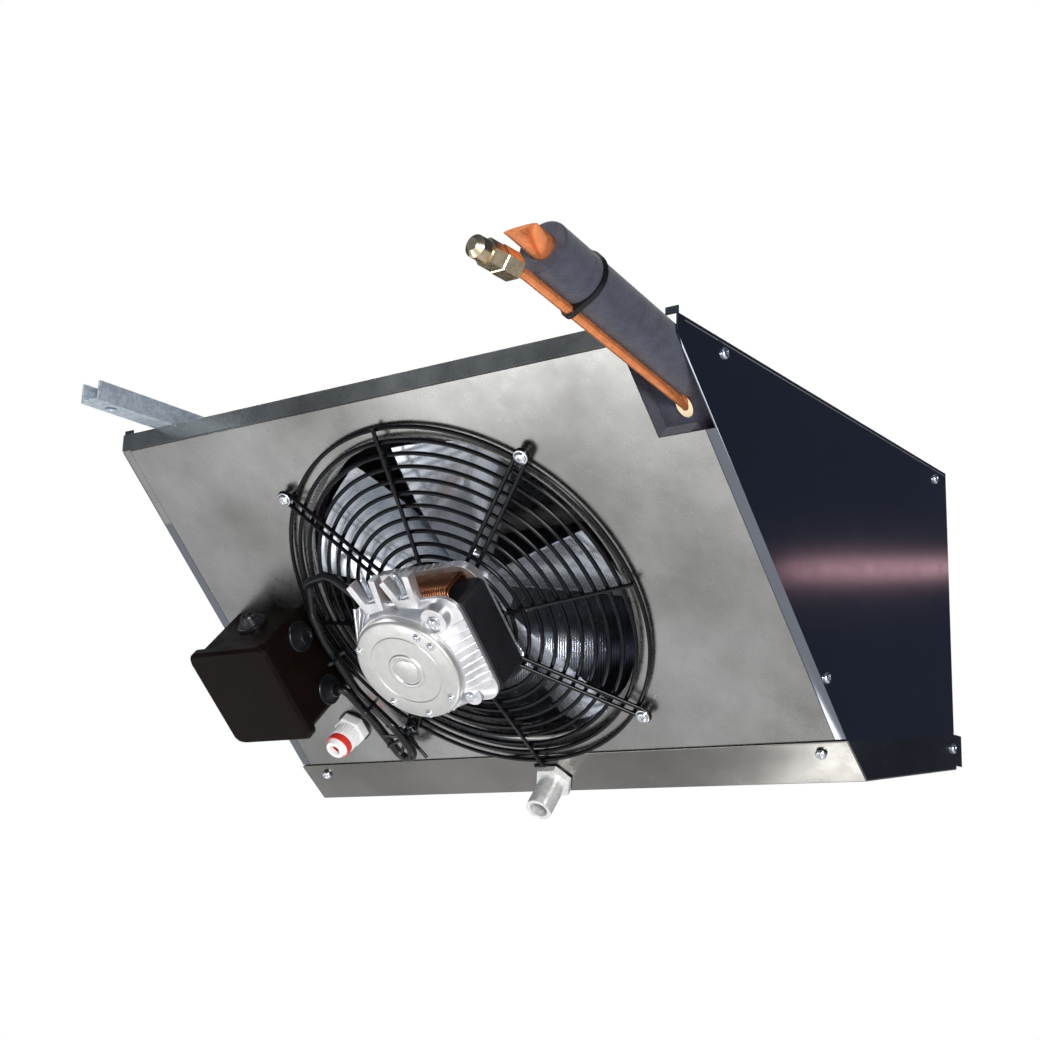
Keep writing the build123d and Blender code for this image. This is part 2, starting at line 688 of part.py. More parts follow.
# ---------------------------------------------------------------- fan guard
ring_step = 9.4
inner_ring = 46.0
wire = 3.2
arm_top_height = 25.4
arm_flat_reach = 49.0
loop_half_gap = 4.0
loop_inner_reach = 35.0
outer_ring_inset = 6.7    # outer ring inside the guard's screws
arm_foot_inset = 4.7      # foot of the arms inside the guard's screws
loop_overhang = 4.8       # loops beyond the guard's screws
hook_inset = 1.2
hook_length = 10.0
spacer_height = 4.4
spacer_radius = 4.4
lug_head_radius = 5.2
lug_head_height = 3.0
lug_screw_reach = 7.0     # guard screws behind the panel's face
ring_first = lug_reach - outer_ring_inset
ring_count = int((ring_first - inner_ring - wire) / ring_step) + 1
arm_foot_reach = lug_reach - arm_foot_inset
arm_foot_height = spacer_height + wire / 2
loop_outer_reach = lug_reach + loop_overhang
hook_reach = lug_reach - hook_inset
hook_height = wire / 2 + sheet
arm_slope = (arm_top_height - arm_foot_height) / (arm_foot_reach - arm_flat_reach)
arm_lean = degrees(atan(arm_slope))


def arm_height(reach):
    """Height of an arm's centre line over the fan panel."""
    return arm_top_height - max(0, reach - arm_flat_reach) * arm_slope


def on_panel(x, up, lift):
    """Point in the frame from a place on the fan panel and its height over the panel."""
    return fan_plane.from_local_coords(Vector(x, up, lift))


ring_reaches = [ring_first - ring_step * place for place in range(ring_count)]
ring_drop = wire / cos(radians(arm_lean))
with BuildPart() as guard_rings:
    with BuildSketch(fan_section):
        for reach in ring_reaches:
            with Locations((reach, arm_height(reach) - ring_drop)):
                Rectangle(wire, wire, rotation=-arm_lean)
        with Locations((inner_ring, arm_top_height - wire)):
            Rectangle(wire, wire)
    revolve(axis=fan_axis)
export_piece(guard_rings, "guard_rings")

# Four arms are long loops of doubled wire, four are single wires; the lowest single one hooks on the panel.
loop_half = [
    (arm_flat_reach, arm_top_height),
    (arm_foot_reach, arm_foot_height),
    (loop_outer_reach - loop_half_gap / 2, arm_foot_height),
]
with BuildPart() as guard_arms:
    for turn in (45, 135, 225, 315):
        corner = Plane(fan_plane.location * Rot(Z=turn))
        loop_ends = [(loop_outer_reach, side * loop_half_gap / 2, arm_foot_height) for side in (1, -1)]
        inner_ends = [(loop_inner_reach, side * loop_half_gap / 2, arm_top_height) for side in (-1, 1)]
        loop_start = (arm_flat_reach - wire, loop_half_gap, arm_top_height)
        with BuildLine(corner) as loop_line:
            Polyline(
                loop_start,
                *[(reach, loop_half_gap, height) for reach, height in loop_half],
                *loop_ends,
                *[(reach, -loop_half_gap, height) for reach, height in reversed(loop_half)],
                (loop_inner_reach + loop_half_gap / 2, -loop_half_gap, arm_top_height),
                *inner_ends,
                (loop_inner_reach + loop_half_gap / 2, loop_half_gap, arm_top_height),
                loop_start,
            )
        with BuildSketch(Plane(origin=corner.from_local_coords(loop_start), x_dir=slope_out,
                               z_dir=corner.x_dir)):
            Rectangle(wire, wire)
        sweep(path=loop_line.wires()[0], transition=Transition.RIGHT)
    for turn in (0, 90, 180, 270):
        corner = Plane(fan_plane.location * Rot(Z=turn))
        arm_start = (inner_ring - wire / 2, 0, arm_top_height)
        arm_points = [
            arm_start,
            (arm_flat_reach, 0, arm_top_height),
            (arm_foot_reach + sheet, 0, arm_foot_height),
        ]
        if turn == 270:
            arm_points += [(hook_reach, 0, hook_height), (hook_reach, -hook_length, hook_height)]
        with BuildLine(corner) as arm_line:
            Polyline(*arm_points)
        with BuildSketch(Plane(origin=corner.from_local_coords(arm_start), x_dir=slope_out,
                               z_dir=corner.x_dir)):
            Rectangle(wire, wire)
        sweep(path=arm_line.wires()[0], transition=Transition.RIGHT)
export_piece(guard_arms, "guard_arms")

lug_top = spacer_height + wire
with BuildPart() as guard_screws:
    with BuildSketch(fan_plane.offset(lug_top)):
        with PolarLocations(lug_reach, 4, 45):
            Circle(lug_head_radius)
    extrude(amount=lug_head_height)
    with BuildSketch(fan_plane.offset(lug_top)):
        with PolarLocations(lug_reach, 4, 45):
            Circle(screw_radius)
    extrude(amount=-lug_top - lug_screw_reach)
export_piece(guard_screws, "guard_screws")

with BuildPart() as guard_spacers:
    with BuildSketch(fan_plane):
        with PolarLocations(lug_reach, 4, 45):
            Circle(spacer_radius)
            Circle(screw_radius + fit, mode=Mode.SUBTRACT)
    extrude(amount=spacer_height)
export_piece(guard_spacers, "guard_spacers")

# ---------------------------------------------------------------- fan motor
# Heights are over the fan panel; the shaft lies on the fan's axis, the stator reaches further to the right.
shield_seat = arm_top_height + wire / 2
stator_base = 34.0
stator_top = 64.0
shield_top = 80.0
shaft_radius = 4.0
bearing_radius = 11.0
bearing_width = 7.0
rotor_radius = 22.3
stator_bore = 22.7
turn_fit = 0.05
mount_reach = 40.0
rear_bearing = 24.0
front_bearing = 66.0
motor_bolt_places = [(36.0, 32.0), (33.0, -32.0)]
boss_radii = (10.0, 8.0)
boss_heights = (78.0, 75.0)
boss_step = 2.0           # recessed face inside each boss
rear_shield_size = (96.0, 92.0)
rear_shield_corner = 16.0
rear_shield_place = (2.0, 2.0)
rear_boss_radius = 15.0
rear_boss_height = 6.0
stator_size = (92.0, 74.0)
stator_corner = 5.0
stator_place = (8.0, 0.0)
winding_size = (46.0, 9.5)
winding_place = (21.0, 37.0)
winding_inset = 2.0
winding_round = 4.0
front_shield_size = (94.0, 86.0)
front_shield_corner = 14.0
front_shield_place = (5.0, 1.0)
front_flange = 3.0
front_shield_step = 1.0   # skirt inside the flange
front_rim_radius = 42.5
lug_places = (-14.0, 16.0)
lug_root = 36.0
lug_lift = 1.0
lug_thickness = 8.0
lug_profile = [(-7, 0), (-14, 27), (-9, 29), (-5, 13), (5, 13), (8, 31), (13, 30), (7, 0)]
lug_bolt_height = stator_top + lug_lift + lug_thickness / 2
lug_bolt_seat = 49.0
lug_bolt_ends = (-12.0, 18.0)
motor_nut_apothem = 3.5
motor_nut_height = 3.0
bolt_end = 1.0            # bolts short of the rear shield's face
mount_head_apothem = 3.6
mount_screw_end = 5.0
cap_radius = 41.0
cap_edge = 4.5
cap_chamfer = 1.5
cap_height = 6.0
cap_rings = [(14.0, 13.4, 11.4, 10.8, 1.2), (9.6, 9.0, 0.0, 0.0, 1.0)]

with BuildPart() as motor_rear_shield:
    with BuildSketch(fan_plane.offset(shield_seat)):
        with Locations(rear_shield_place):
            RectangleRounded(*rear_shield_size, rear_shield_corner)
    extrude(amount=stator_base - shield_seat)
    with BuildSketch(fan_plane.offset(shield_seat)):
        Circle(rear_boss_radius)
    extrude(amount=-rear_boss_height)
    with BuildSketch(fan_plane.offset(rear_bearing)):
        Circle(bearing_radius + turn_fit)
    extrude(amount=stator_base - rear_bearing, mode=Mode.SUBTRACT)
    with BuildSketch(fan_plane):
        Circle(shaft_radius + sheet)
    extrude(amount=rear_bearing, mode=Mode.SUBTRACT)
    with BuildSketch(fan_plane.offset(shield_seat)):
        with PolarLocations(mount_reach, 4, 45):
            Circle(screw_radius + turn_fit)
        with Locations(*motor_bolt_places):
            Circle(screw_radius + turn_fit)
    extrude(amount=stator_base - shield_seat, mode=Mode.SUBTRACT)
export_piece(motor_rear_shield, "motor_rear_shield")

with BuildPart() as motor_stator:
    with BuildSketch(fan_plane.offset(stator_base)):
        with Locations(stator_place):
            RectangleRounded(*stator_size, stator_corner)
        Circle(stator_bore, mode=Mode.SUBTRACT)
        with Locations(*motor_bolt_places):
            Circle(screw_radius + turn_fit, mode=Mode.SUBTRACT)
    extrude(amount=stator_top - stator_base)
export_piece(motor_stator, "motor_stator")

with BuildPart() as motor_windings:
    with BuildSketch(fan_plane.offset(stator_base + winding_inset)):
        with Locations(winding_place):
            Rectangle(*winding_size, align=(Align.CENTER, Align.MIN))
    extrude(amount=stator_top - stator_base - 2 * winding_inset)
    outer_edges = motor_windings.edges().filter_by(Axis.X).sort_by(Axis((0, 0, 0), fan_plane.y_dir))[-2:]
    fillet(outer_edges, winding_round)
export_piece(motor_windings, "motor_windings")

lug_root_plane = Plane(
    origin=on_panel(0, lug_root, lug_bolt_height), x_dir=(1, 0, 0), z_dir=fan_plane.y_dir
)
with BuildPart() as motor_front_shield:
    with BuildSketch(fan_plane.offset(stator_top)):
        with Locations(front_shield_place):
            RectangleRounded(*front_shield_size, front_shield_corner)
    extrude(amount=front_flange)
    with BuildSketch(fan_plane.offset(stator_top + front_flange)):
        with Locations(front_shield_place):
            RectangleRounded(
                front_shield_size[0] - 2 * front_shield_step,
                front_shield_size[1] - 2 * front_shield_step,
                front_shield_corner - front_shield_step,
            )
    with BuildSketch(fan_plane.offset(shield_top)):
        Circle(front_rim_radius)
    loft()
    for place, radius, height in zip(motor_bolt_places, boss_radii, boss_heights):
        with BuildSketch(fan_plane.offset(stator_top)):
            with Locations(place):
                Circle(radius)
        extrude(amount=height - stator_top)
        with BuildSketch(fan_plane.offset(height)):
            with Locations(place):
                Circle(radius - boss_step)
        extrude(amount=shield_top - height, mode=Mode.SUBTRACT)
    with BuildSketch(fan_plane.offset(stator_top + lug_lift)):
        for lug_x in lug_places:
            with Locations((lug_x, lug_root)):
                Polygon(*lug_profile, align=None)
    extrude(amount=lug_thickness)
    with BuildSketch(fan_plane.offset(stator_top)):
        Circle(bearing_radius + turn_fit)
    extrude(amount=front_bearing + bearing_width - stator_top, mode=Mode.SUBTRACT)
    with BuildSketch(fan_plane.offset(stator_top)):
        with Locations(*motor_bolt_places):
            Circle(screw_radius + turn_fit)
    extrude(amount=shield_top, mode=Mode.SUBTRACT)
    with BuildSketch(lug_root_plane):
        with Locations(*[(lug_x, 0) for lug_x in lug_places]):
            Circle(screw_radius + turn_fit)
    extrude(amount=lug_root, mode=Mode.SUBTRACT)
export_piece(motor_front_shield, "motor_front_shield")

cap_face = shield_top + cap_height
with BuildPart() as motor_cap:
    with BuildSketch(fan_section):
        Polygon(
            (0, shield_top),
            (cap_radius, shield_top),
            (cap_radius, shield_top + cap_edge),
            (cap_radius - cap_chamfer, cap_face),
            (0, cap_face),
            align=None,
        )
        for foot_out, top_out, top_in, foot_in, rise in cap_rings:
            Polygon(
                (foot_out, cap_face),
                (top_out, cap_face + rise),
                (top_in, cap_face + rise),
                (foot_in, cap_face),
                align=None,
            )
    revolve(axis=fan_axis)
export_piece(motor_cap, "motor_cap")

with BuildPart() as motor_bolts:
    for place, height in zip(motor_bolt_places, boss_heights):
        with BuildSketch(fan_plane.offset(height)):
            with Locations(place):
                RegularPolygon(motor_nut_apothem, 6, major_radius=False)
        extrude(amount=motor_nut_height)
        with BuildSketch(fan_plane.offset(height)):
            with Locations(place):
                Circle(screw_radius)
        extrude(amount=shield_seat + bolt_end - height)
export_piece(motor_bolts, "motor_bolts")

lug_bolt_plane = Plane(
    origin=on_panel(0, lug_bolt_seat, lug_bolt_height), x_dir=(1, 0, 0), z_dir=fan_plane.y_dir
)
with BuildPart() as lug_bolts:
    for length in lug_bolt_ends:
        with BuildSketch(lug_bolt_plane):
            with Locations(*[(lug_x, 0) for lug_x in lug_places]):
                Circle(screw_radius)
        extrude(amount=length)
    with BuildSketch(lug_bolt_plane):
        with Locations(*[(lug_x, 0) for lug_x in lug_places]):
            RegularPolygon(motor_nut_apothem, 6, major_radius=False)
    extrude(amount=motor_nut_height)
export_piece(lug_bolts, "lug_bolts")

with BuildPart() as motor_mount_screws:
    with BuildSketch(fan_plane.offset(arm_top_height - wire / 2)):
        with PolarLocations(mount_reach, 4, 45):
            RegularPolygon(mount_head_apothem, 6, major_radius=False)
    extrude(amount=-motor_nut_height)
    with BuildSketch(fan_plane.offset(arm_top_height - wire / 2)):
        with PolarLocations(mount_reach, 4, 45):
            Circle(screw_radius)
    extrude(amount=wire + mount_screw_end)
export_piece(motor_mount_screws, "motor_mount_screws")

with BuildPart() as motor_bearings:
    for height in (rear_bearing, front_bearing):
        with BuildSketch(fan_plane.offset(height)):
            Circle(bearing_radius)
            Circle(shaft_radius + turn_fit, mode=Mode.SUBTRACT)
        extrude(amount=bearing_width)
export_piece(motor_bearings, "motor_bearings")

# ---------------------------------------------------------------- impeller and shaft
hub_rear = -32.0
hub_front = -8.0
disc_height = -18.0
blade_count = 5
blade_root = 19.0
blade_height = -21.0
blade_sheet = 1.6
hub_radius = 10.0
hub_disc_radius = 20.0
hub_step = 1.0            # rear neck of the hub inside its front neck
hub_disc_thickness = 2.0
impeller_disc_radius = 30.0
shaft_end = 0.5           # shaft short of the front bearing's face
blade_overrun = 4.0       # loft beyond the tip, trimmed to the impeller's radius
blade_stations = [
    (blade_root, 26.0, 40.0, 2.5),
    (70.0, 62.0, 31.0, 6.5),
    (impeller_radius + blade_overrun, 92.0, 22.0, 9.0),
]

with BuildPart() as motor_shaft:
    with BuildSketch(fan_plane.offset(hub_rear)):
        Circle(shaft_radius)
    extrude(amount=front_bearing + bearing_width - shaft_end - hub_rear)
export_piece(motor_shaft, "motor_shaft")

with BuildPart() as motor_rotor:
    with BuildSketch(fan_plane.offset(stator_base + winding_inset)):
        Circle(rotor_radius)
        Circle(shaft_radius + turn_fit, mode=Mode.SUBTRACT)
    extrude(amount=stator_top - stator_base - 2 * winding_inset)
export_piece(motor_rotor, "motor_rotor")

with BuildPart() as impeller_hub:
    with BuildSketch(fan_section):
        Polygon(
            (shaft_radius + turn_fit, hub_rear + hub_disc_thickness),
            (hub_radius - hub_step, hub_rear + hub_disc_thickness),
            (hub_radius - hub_step, disc_height - hub_disc_thickness),
            (hub_disc_radius, disc_height - hub_disc_thickness),
            (hub_disc_radius, disc_height),
            (hub_radius, disc_height),
            (hub_radius, hub_front),
            (shaft_radius + turn_fit, hub_front),
            align=None,
        )
    revolve(axis=fan_axis)
export_piece(impeller_hub, "impeller_hub")

with BuildPart() as blade:
    for reach, chord, pitch, camber in blade_stations:
        blade_plane = Plane(origin=on_panel(reach, 0, blade_height), x_dir=fan_plane.y_dir, z_dir=(1, 0, 0))
        with BuildSketch(Plane(blade_plane.location * Rot(Z=pitch))):
            with BuildLine():
                back = ThreePointArc((-chord / 2, 0), (0, camber), (chord / 2, 0))
                front = ThreePointArc(
                    (-chord / 2, -blade_sheet), (0, camber - blade_sheet), (chord / 2, -blade_sheet)
                )
                Line(back @ 0, front @ 0)
                Line(back @ 1, front @ 1)
            make_face()
    loft()
    with BuildSketch(fan_plane.offset(2 * hub_rear)):
        Circle(impeller_radius)
    extrude(amount=-4 * hub_rear, mode=Mode.INTERSECT)

with BuildPart() as impeller:
    for turn in range(blade_count):
        add(blade.part.rotate(fan_axis, 360 / blade_count * turn))
    with BuildSketch(fan_plane.offset(disc_height)):
        Circle(impeller_disc_radius)
    extrude(amount=blade_sheet)
    with BuildSketch(fan_plane.offset(2 * hub_rear)):
        Circle(hub_radius + turn_fit)
    extrude(amount=-4 * hub_rear, mode=Mode.SUBTRACT)
    with BuildSketch(fan_plane.offset(disc_height)):
        Circle(hub_disc_radius)
    extrude(amount=2 * hub_rear, mode=Mode.SUBTRACT)
export_piece(impeller, "impeller")

# ---------------------------------------------------------------- junction box
lid_height = 8.0
lid_rim = 3.5
lid_round = 2.0           # lid's corners over the box's
lid_chamfer = 2.5
lid_hollow_inset = 8.0
lid_wall = 3.0
box_screw_inset = 7.0
box_pillar_radius = 4.5
box_head_radius = 3.8
box_head_height = 1.6
box_screw_end = 10.0
grommet_neck = 8.0
grommet_height = 19.5
grommet_inset = 40.0      # upper grommet, from the box's right side
cable_entry_rise = 15.0   # side grommets, from the box's lower edge
blind_entry_rise = 66.0
grommet_profile = [(12.0, 0.0), (12.0, 3.0), (8.5, 4.0), (6.5, 10.0)]
cable_radius = 3.5
terminal_size = (40.0, 16.0)
terminal_height = 14.0
terminal_shift = (4.0, 14.0)
terminal_pitch = 8.0
terminal_mouth = (6.0, 4.0)
bush_lip = 2.0            # box bush: its lip and its wall
bush_wall = 3.0
cable_entry_up = box_low + cable_entry_rise
blind_entry_up = box_low + blind_entry_rise
upper_entry = Plane(
    origin=on_panel(box_right - grommet_inset, box_low + box_size[1], grommet_height),
    x_dir=(1, 0, 0),
    z_dir=fan_plane.y_dir,
)
side_entries = [
    Plane(origin=on_panel(box_right, up, grommet_height), x_dir=fan_plane.y_dir, z_dir=(1, 0, 0))
    for up in (cable_entry_up, blind_entry_up)
]
box_screw_across = box_size[0] / 2 - box_screw_inset
box_screw_up = box_size[1] / 2 - box_screw_inset
box_screw_places = [
    (box_middle[0] + side * box_screw_across, box_middle[1] + up * box_screw_up)
    for side in (-1, 1)
    for up in (-1, 1)
]

with BuildPart() as box_base:
    with BuildSketch(fan_plane):
        with Locations(box_middle):
            RectangleRounded(*box_size, box_corner)
    extrude(amount=box_height)
    with BuildSketch(fan_plane.offset(box_wall)):
        with Locations(box_middle):
            RectangleRounded(box_size[0] - 2 * box_wall, box_size[1] - 2 * box_wall, box_corner - box_wall)
    extrude(amount=box_height, mode=Mode.SUBTRACT)
    with BuildSketch(fan_plane.offset(box_wall)):
        with Locations(*box_screw_places):
            Circle(box_pillar_radius)
            Circle(screw_radius + turn_fit, mode=Mode.SUBTRACT)
    extrude(amount=box_height - box_wall)
    for entry in (upper_entry, *side_entries):
        with BuildSketch(entry):
            Circle(grommet_neck + turn_fit)
        extrude(amount=-2 * box_wall, mode=Mode.SUBTRACT)
    with BuildSketch(fan_plane):
        with Locations(box_cable_place):
            Circle(box_cable_radius)
    extrude(amount=box_wall, mode=Mode.SUBTRACT)
export_piece(box_base, "box_base")

with BuildPart() as box_lid:
    with BuildSketch(fan_plane.offset(box_height)):
        with Locations(box_middle):
            RectangleRounded(box_size[0] + 2 * lid_rim, box_size[1] + 2 * lid_rim, box_corner + lid_round)
    extrude(amount=lid_height)
    chamfer(box_lid.faces().sort_by(Axis(fan_centre, slope_out))[-1].edges(), lid_chamfer)
    with BuildSketch(fan_plane.offset(box_height)):
        with Locations(box_middle):
            RectangleRounded(
                box_size[0] - 2 * lid_hollow_inset, box_size[1] - 2 * lid_hollow_inset, box_corner
            )
    extrude(amount=lid_height - lid_wall, mode=Mode.SUBTRACT)
    with BuildSketch(fan_plane.offset(box_height)):
        with Locations(*box_screw_places):
            Circle(screw_radius + turn_fit)
    extrude(amount=lid_height, mode=Mode.SUBTRACT)
export_piece(box_lid, "box_lid")

with BuildPart() as box_screws:
    with BuildSketch(fan_plane.offset(box_height + lid_height)):
        with Locations(*box_screw_places):
            Circle(box_head_radius)
    extrude(amount=box_head_height)
    with BuildSketch(fan_plane.offset(box_height + lid_height)):
        with Locations(*box_screw_places):
            Circle(screw_radius)
    extrude(amount=-lid_height - box_screw_end)
export_piece(box_screws, "box_screws")

with BuildPart() as terminal_block:
    with BuildSketch(fan_plane.offset(box_wall)):
        with Locations((box_middle[0] + terminal_shift[0], box_middle[1] + terminal_shift[1])):
            Rectangle(*terminal_size)
            with GridLocations(terminal_pitch, terminal_size[1] - box_wall, 5, 2):
                Rectangle(*terminal_mouth, mode=Mode.SUBTRACT)
    extrude(amount=terminal_height)
export_piece(terminal_block, "terminal_block")

# Stepped rubber bushes; only the one with the motor cable is open.
with BuildPart() as box_grommets:
    for entry, bore in ((upper_entry, 0), (side_entries[0], cable_radius + turn_fit), (side_entries[1], 0)):
        with BuildSketch(Plane(origin=entry.origin, x_dir=entry.x_dir, z_dir=-entry.y_dir)):
            Polygon(
                (bore, -box_wall),
                (grommet_neck, -box_wall),
                (grommet_neck, 0),
                *grommet_profile,
                (bore, grommet_profile[-1][1]),
                align=None,
            )
        revolve(axis=Axis(entry.origin, entry.z_dir))
export_piece(box_grommets, "box_grommets")

with BuildPart() as box_bush:
    with BuildSketch(fan_plane.offset(-2 * sheet)):
        with Locations(box_cable_place):
            Circle(box_cable_radius + bush_lip)
            Circle(box_cable_radius - bush_wall, mode=Mode.SUBTRACT)
    extrude(amount=sheet)
    with BuildSketch(fan_plane.offset(-sheet)):
        with Locations(box_cable_place):
            Circle(box_cable_radius)
            Circle(box_cable_radius - bush_wall, mode=Mode.SUBTRACT)
    extrude(amount=sheet + box_wall)
export_piece(box_bush, "box_bush")

# The motor cable lies on the guard, turns back at its lower left lug and ends inside the box.
cable_approach = 17.0
cable_end = 6.0
cable_route = [
    (-46, 20, 30.5),
    (-58, 20, 30.5),
    (-86, 50, 26),
    (-113, 44, 22),
    (-132, 14, 16.5),
    (-138, -14, 14),
    (-134, -64, 12.5),
    (-113, -97, 16),
    (-108, -126, 14.5),
    (-124, -134, 12.5),
    (-134, -92, 12.5),
    (box_right + cable_approach, cable_entry_up, grommet_height),
    (box_right - cable_end, cable_entry_up, grommet_height),
]
cable_bends = [10, 14, 15, 20, 30, 30, 12, 9, 8, 20, 8]
with BuildPart() as motor_cable:
    with BuildLine(fan_plane) as cable_line:
        FilletPolyline(*cable_route, radius=cable_bends)
    with BuildSketch(Plane(origin=on_panel(*cable_route[0]), z_dir=cable_line.wires()[0] % 0)):
        Circle(cable_radius)
    sweep(path=cable_line.wires()[0])
export_piece(motor_cable, "motor_cable")

# Ties round the cable and the guard ring under it, each part of the way along a leg of the route.
cable_tie_legs = (5, 6)
cable_tie_rings = (1, 0)
cable_tie_shares = (0.3, 0.4)
cable_tie_gaps = (0.35, 0.25)
cable_tie_walls = (1.8, 1.5)
cable_tie_half_width = 1.2
cable_tie_tail = (8.0, 2.4)
cable_tie_tail_place = (-6.5, 2.0)
cable_tie_tail_turn = -20.0
wire_corner = wire / 2 ** 0.5
with BuildPart() as cable_ties:
    for leg, ring_place, part_way in zip(cable_tie_legs, cable_tie_rings, cable_tie_shares):
        start, end = Vector(*cable_route[leg]), Vector(*cable_route[leg + 1])
        held = start + (end - start) * part_way
        outward = Vector(held.X, held.Y, 0).normalized()
        ring_reach = ring_reaches[ring_place]
        ring_drop_here = held.Z - arm_height(ring_reach) + ring_drop
        along = (end - start).normalized() + Vector(-outward.Y, outward.X, 0)
        across_tie = Plane(origin=held, x_dir=(along.Y, -along.X, 0), z_dir=(along.X, along.Y, 0))
        tie_face = Plane(fan_plane.location * across_tie.location)
        ring_spot = (ring_reach - Vector(held.X, held.Y, 0).length, -ring_drop_here)
        with BuildSketch(tie_face):
            Circle(cable_radius + cable_tie_walls[0])
            with Locations(ring_spot):
                Circle(wire_corner + cable_tie_walls[1])
            make_hull()
            with Locations(cable_tie_tail_place):
                Rectangle(*cable_tie_tail, rotation=cable_tie_tail_turn)
        extrude(amount=cable_tie_half_width, both=True)
        with BuildSketch(tie_face):
            Circle(cable_radius + cable_tie_gaps[0])
            with Locations(ring_spot):
                Circle(wire_corner + cable_tie_gaps[1])
            make_hull()
        extrude(amount=cable_tie_half_width, both=True, mode=Mode.SUBTRACT)
export_piece(cable_ties, "cable_ties")

# ---------------------------------------------------------------- cable gland, drain and screws
gland_plane = Plane(origin=on_panel(*gland_place, 0), x_dir=(1, 0, 0), z_dir=slope_out)
gland_thread_length = 14.0
gland_apothem = 12.0
gland_flange_radius = 14.0
gland_body_radius = 11.0
gland_cap_radius = 10.0
gland_tip_radii = (9.0, 7.5)
gland_nut_height = 5.0
gland_levels = (2.0, 10.0, 22.0, 28.0, 32.0)   # washer, hexagon, body, red cap and tip end here
washer_top, hexagon_top, body_top, cap_top, tip_top = gland_levels
with BuildPart() as cable_gland:
    with BuildSketch(gland_plane.offset(-gland_thread_length)):
        Circle(gland_radius)
    extrude(amount=gland_thread_length + washer_top)
    with BuildSketch(gland_plane.offset(washer_top)):
        RegularPolygon(gland_apothem, 6, major_radius=False)
    extrude(amount=hexagon_top - washer_top)
    with BuildSketch(gland_plane.offset(hexagon_top)):
        Circle(gland_body_radius)
    extrude(amount=body_top - hexagon_top)
    with BuildSketch(gland_plane.offset(-gland_thread_length)):
        Circle(gland_bore)
    extrude(amount=gland_thread_length + body_top, mode=Mode.SUBTRACT)
export_piece(cable_gland, "cable_gland")

with BuildPart() as gland_cap:
    with BuildSketch(gland_plane.offset(body_top)):
        Circle(gland_cap_radius)
        Circle(gland_bore, mode=Mode.SUBTRACT)
    extrude(amount=cap_top - body_top)
export_piece(gland_cap, "gland_cap")

with BuildPart() as gland_tip:
    with Locations(gland_plane.offset(cap_top)):
        Cone(*gland_tip_radii, tip_top - cap_top, align=(Align.CENTER, Align.CENTER, Align.MIN))
        Cylinder(
            gland_bore,
            tip_top - cap_top,
            align=(Align.CENTER, Align.CENTER, Align.MIN),
            mode=Mode.SUBTRACT,
        )
export_piece(gland_tip, "gland_tip")

with BuildPart() as gland_washer:
    with BuildSketch(gland_plane):
        Circle(gland_flange_radius)
        Circle(gland_radius + fit, mode=Mode.SUBTRACT)
    extrude(amount=washer_top)
export_piece(gland_washer, "gland_washer")

with BuildPart() as gland_nut:
    with BuildSketch(gland_plane.offset(-sheet)):
        RegularPolygon(gland_apothem, 6, major_radius=False)
        Circle(gland_radius + fit, mode=Mode.SUBTRACT)
    extrude(amount=-gland_nut_height)
export_piece(gland_nut, "gland_nut")

drain_radius = 10.0
drain_bore = 7.0
drain_length = 34.0
drain_nut_apothem = 11.0
drain_nut_height = 5.0
drain_inside = 8.0        # thread above the tray's sheet
drain_flange_apothem = 13.0
drain_flange_height = 5.0
gasket = 1.5
gasket_radius = 12.5
with BuildPart() as drain_spigot:
    with BuildSketch(drain_plane.offset(-sheet - drain_inside)):
        Circle(drain_thread)
    extrude(amount=sheet + drain_inside + gasket)
    with BuildSketch(drain_plane.offset(gasket)):
        RegularPolygon(drain_flange_apothem, 6, major_radius=False)
    extrude(amount=drain_flange_height)
    with BuildSketch(drain_plane.offset(gasket)):
        Circle(drain_radius)
    extrude(amount=drain_length - gasket)
    with BuildSketch(drain_plane.offset(-sheet - drain_inside)):
        Circle(drain_bore)
    extrude(amount=sheet + drain_inside + drain_length, mode=Mode.SUBTRACT)
export_piece(drain_spigot, "drain_spigot")

with BuildPart() as drain_nut:
    with BuildSketch(drain_plane.offset(-sheet)):
        RegularPolygon(drain_nut_apothem, 6, major_radius=False)
        Circle(drain_thread + turn_fit, mode=Mode.SUBTRACT)
    extrude(amount=-drain_nut_height)
export_piece(drain_nut, "drain_nut")

with BuildPart() as drain_gasket:
    with BuildSketch(drain_plane):
        Circle(gasket_radius)
        Circle(drain_thread + turn_fit, mode=Mode.SUBTRACT)
    extrude(amount=gasket)
export_piece(drain_gasket, "drain_gasket")

with BuildPart() as side_screws:
    for side in (-1, 1):
        with BuildSketch(Plane.YZ.offset(side * half_width)):
            with Locations(*side_screw_places):
                Circle(screw_head_radius)
        extrude(amount=side * screw_head_height)
        with BuildSketch(Plane.YZ.offset(side * half_width)):
            with Locations(*side_screw_places):
                Circle(screw_radius)
        extrude(amount=-side * screw_reach)
export_piece(side_screws, "side_screws")

with BuildPart() as tray_screws:
    for side in (-1, 1):
        with BuildSketch(Plane.YZ.offset(side * (half_width + sheet))):
            with Locations(tray_side_screw):
                Circle(screw_head_radius)
        extrude(amount=side * screw_head_height)
        with BuildSketch(Plane.YZ.offset(side * (half_width + sheet))):
            with Locations(tray_side_screw):
                Circle(screw_radius)
        extrude(amount=-side * screw_reach)
    with BuildSketch(tray_screw_plane):
        with Locations(*tray_front_screws):
            Circle(screw_head_radius)
    extrude(amount=screw_head_height)
    with BuildSketch(tray_screw_plane):
        with Locations(*tray_front_screws):
            Circle(screw_radius)
    extrude(amount=-screw_reach)
export_piece(tray_screws, "tray_screws")
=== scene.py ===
import json
import math

import bmesh
import bpy
from mathutils import Matrix, Vector


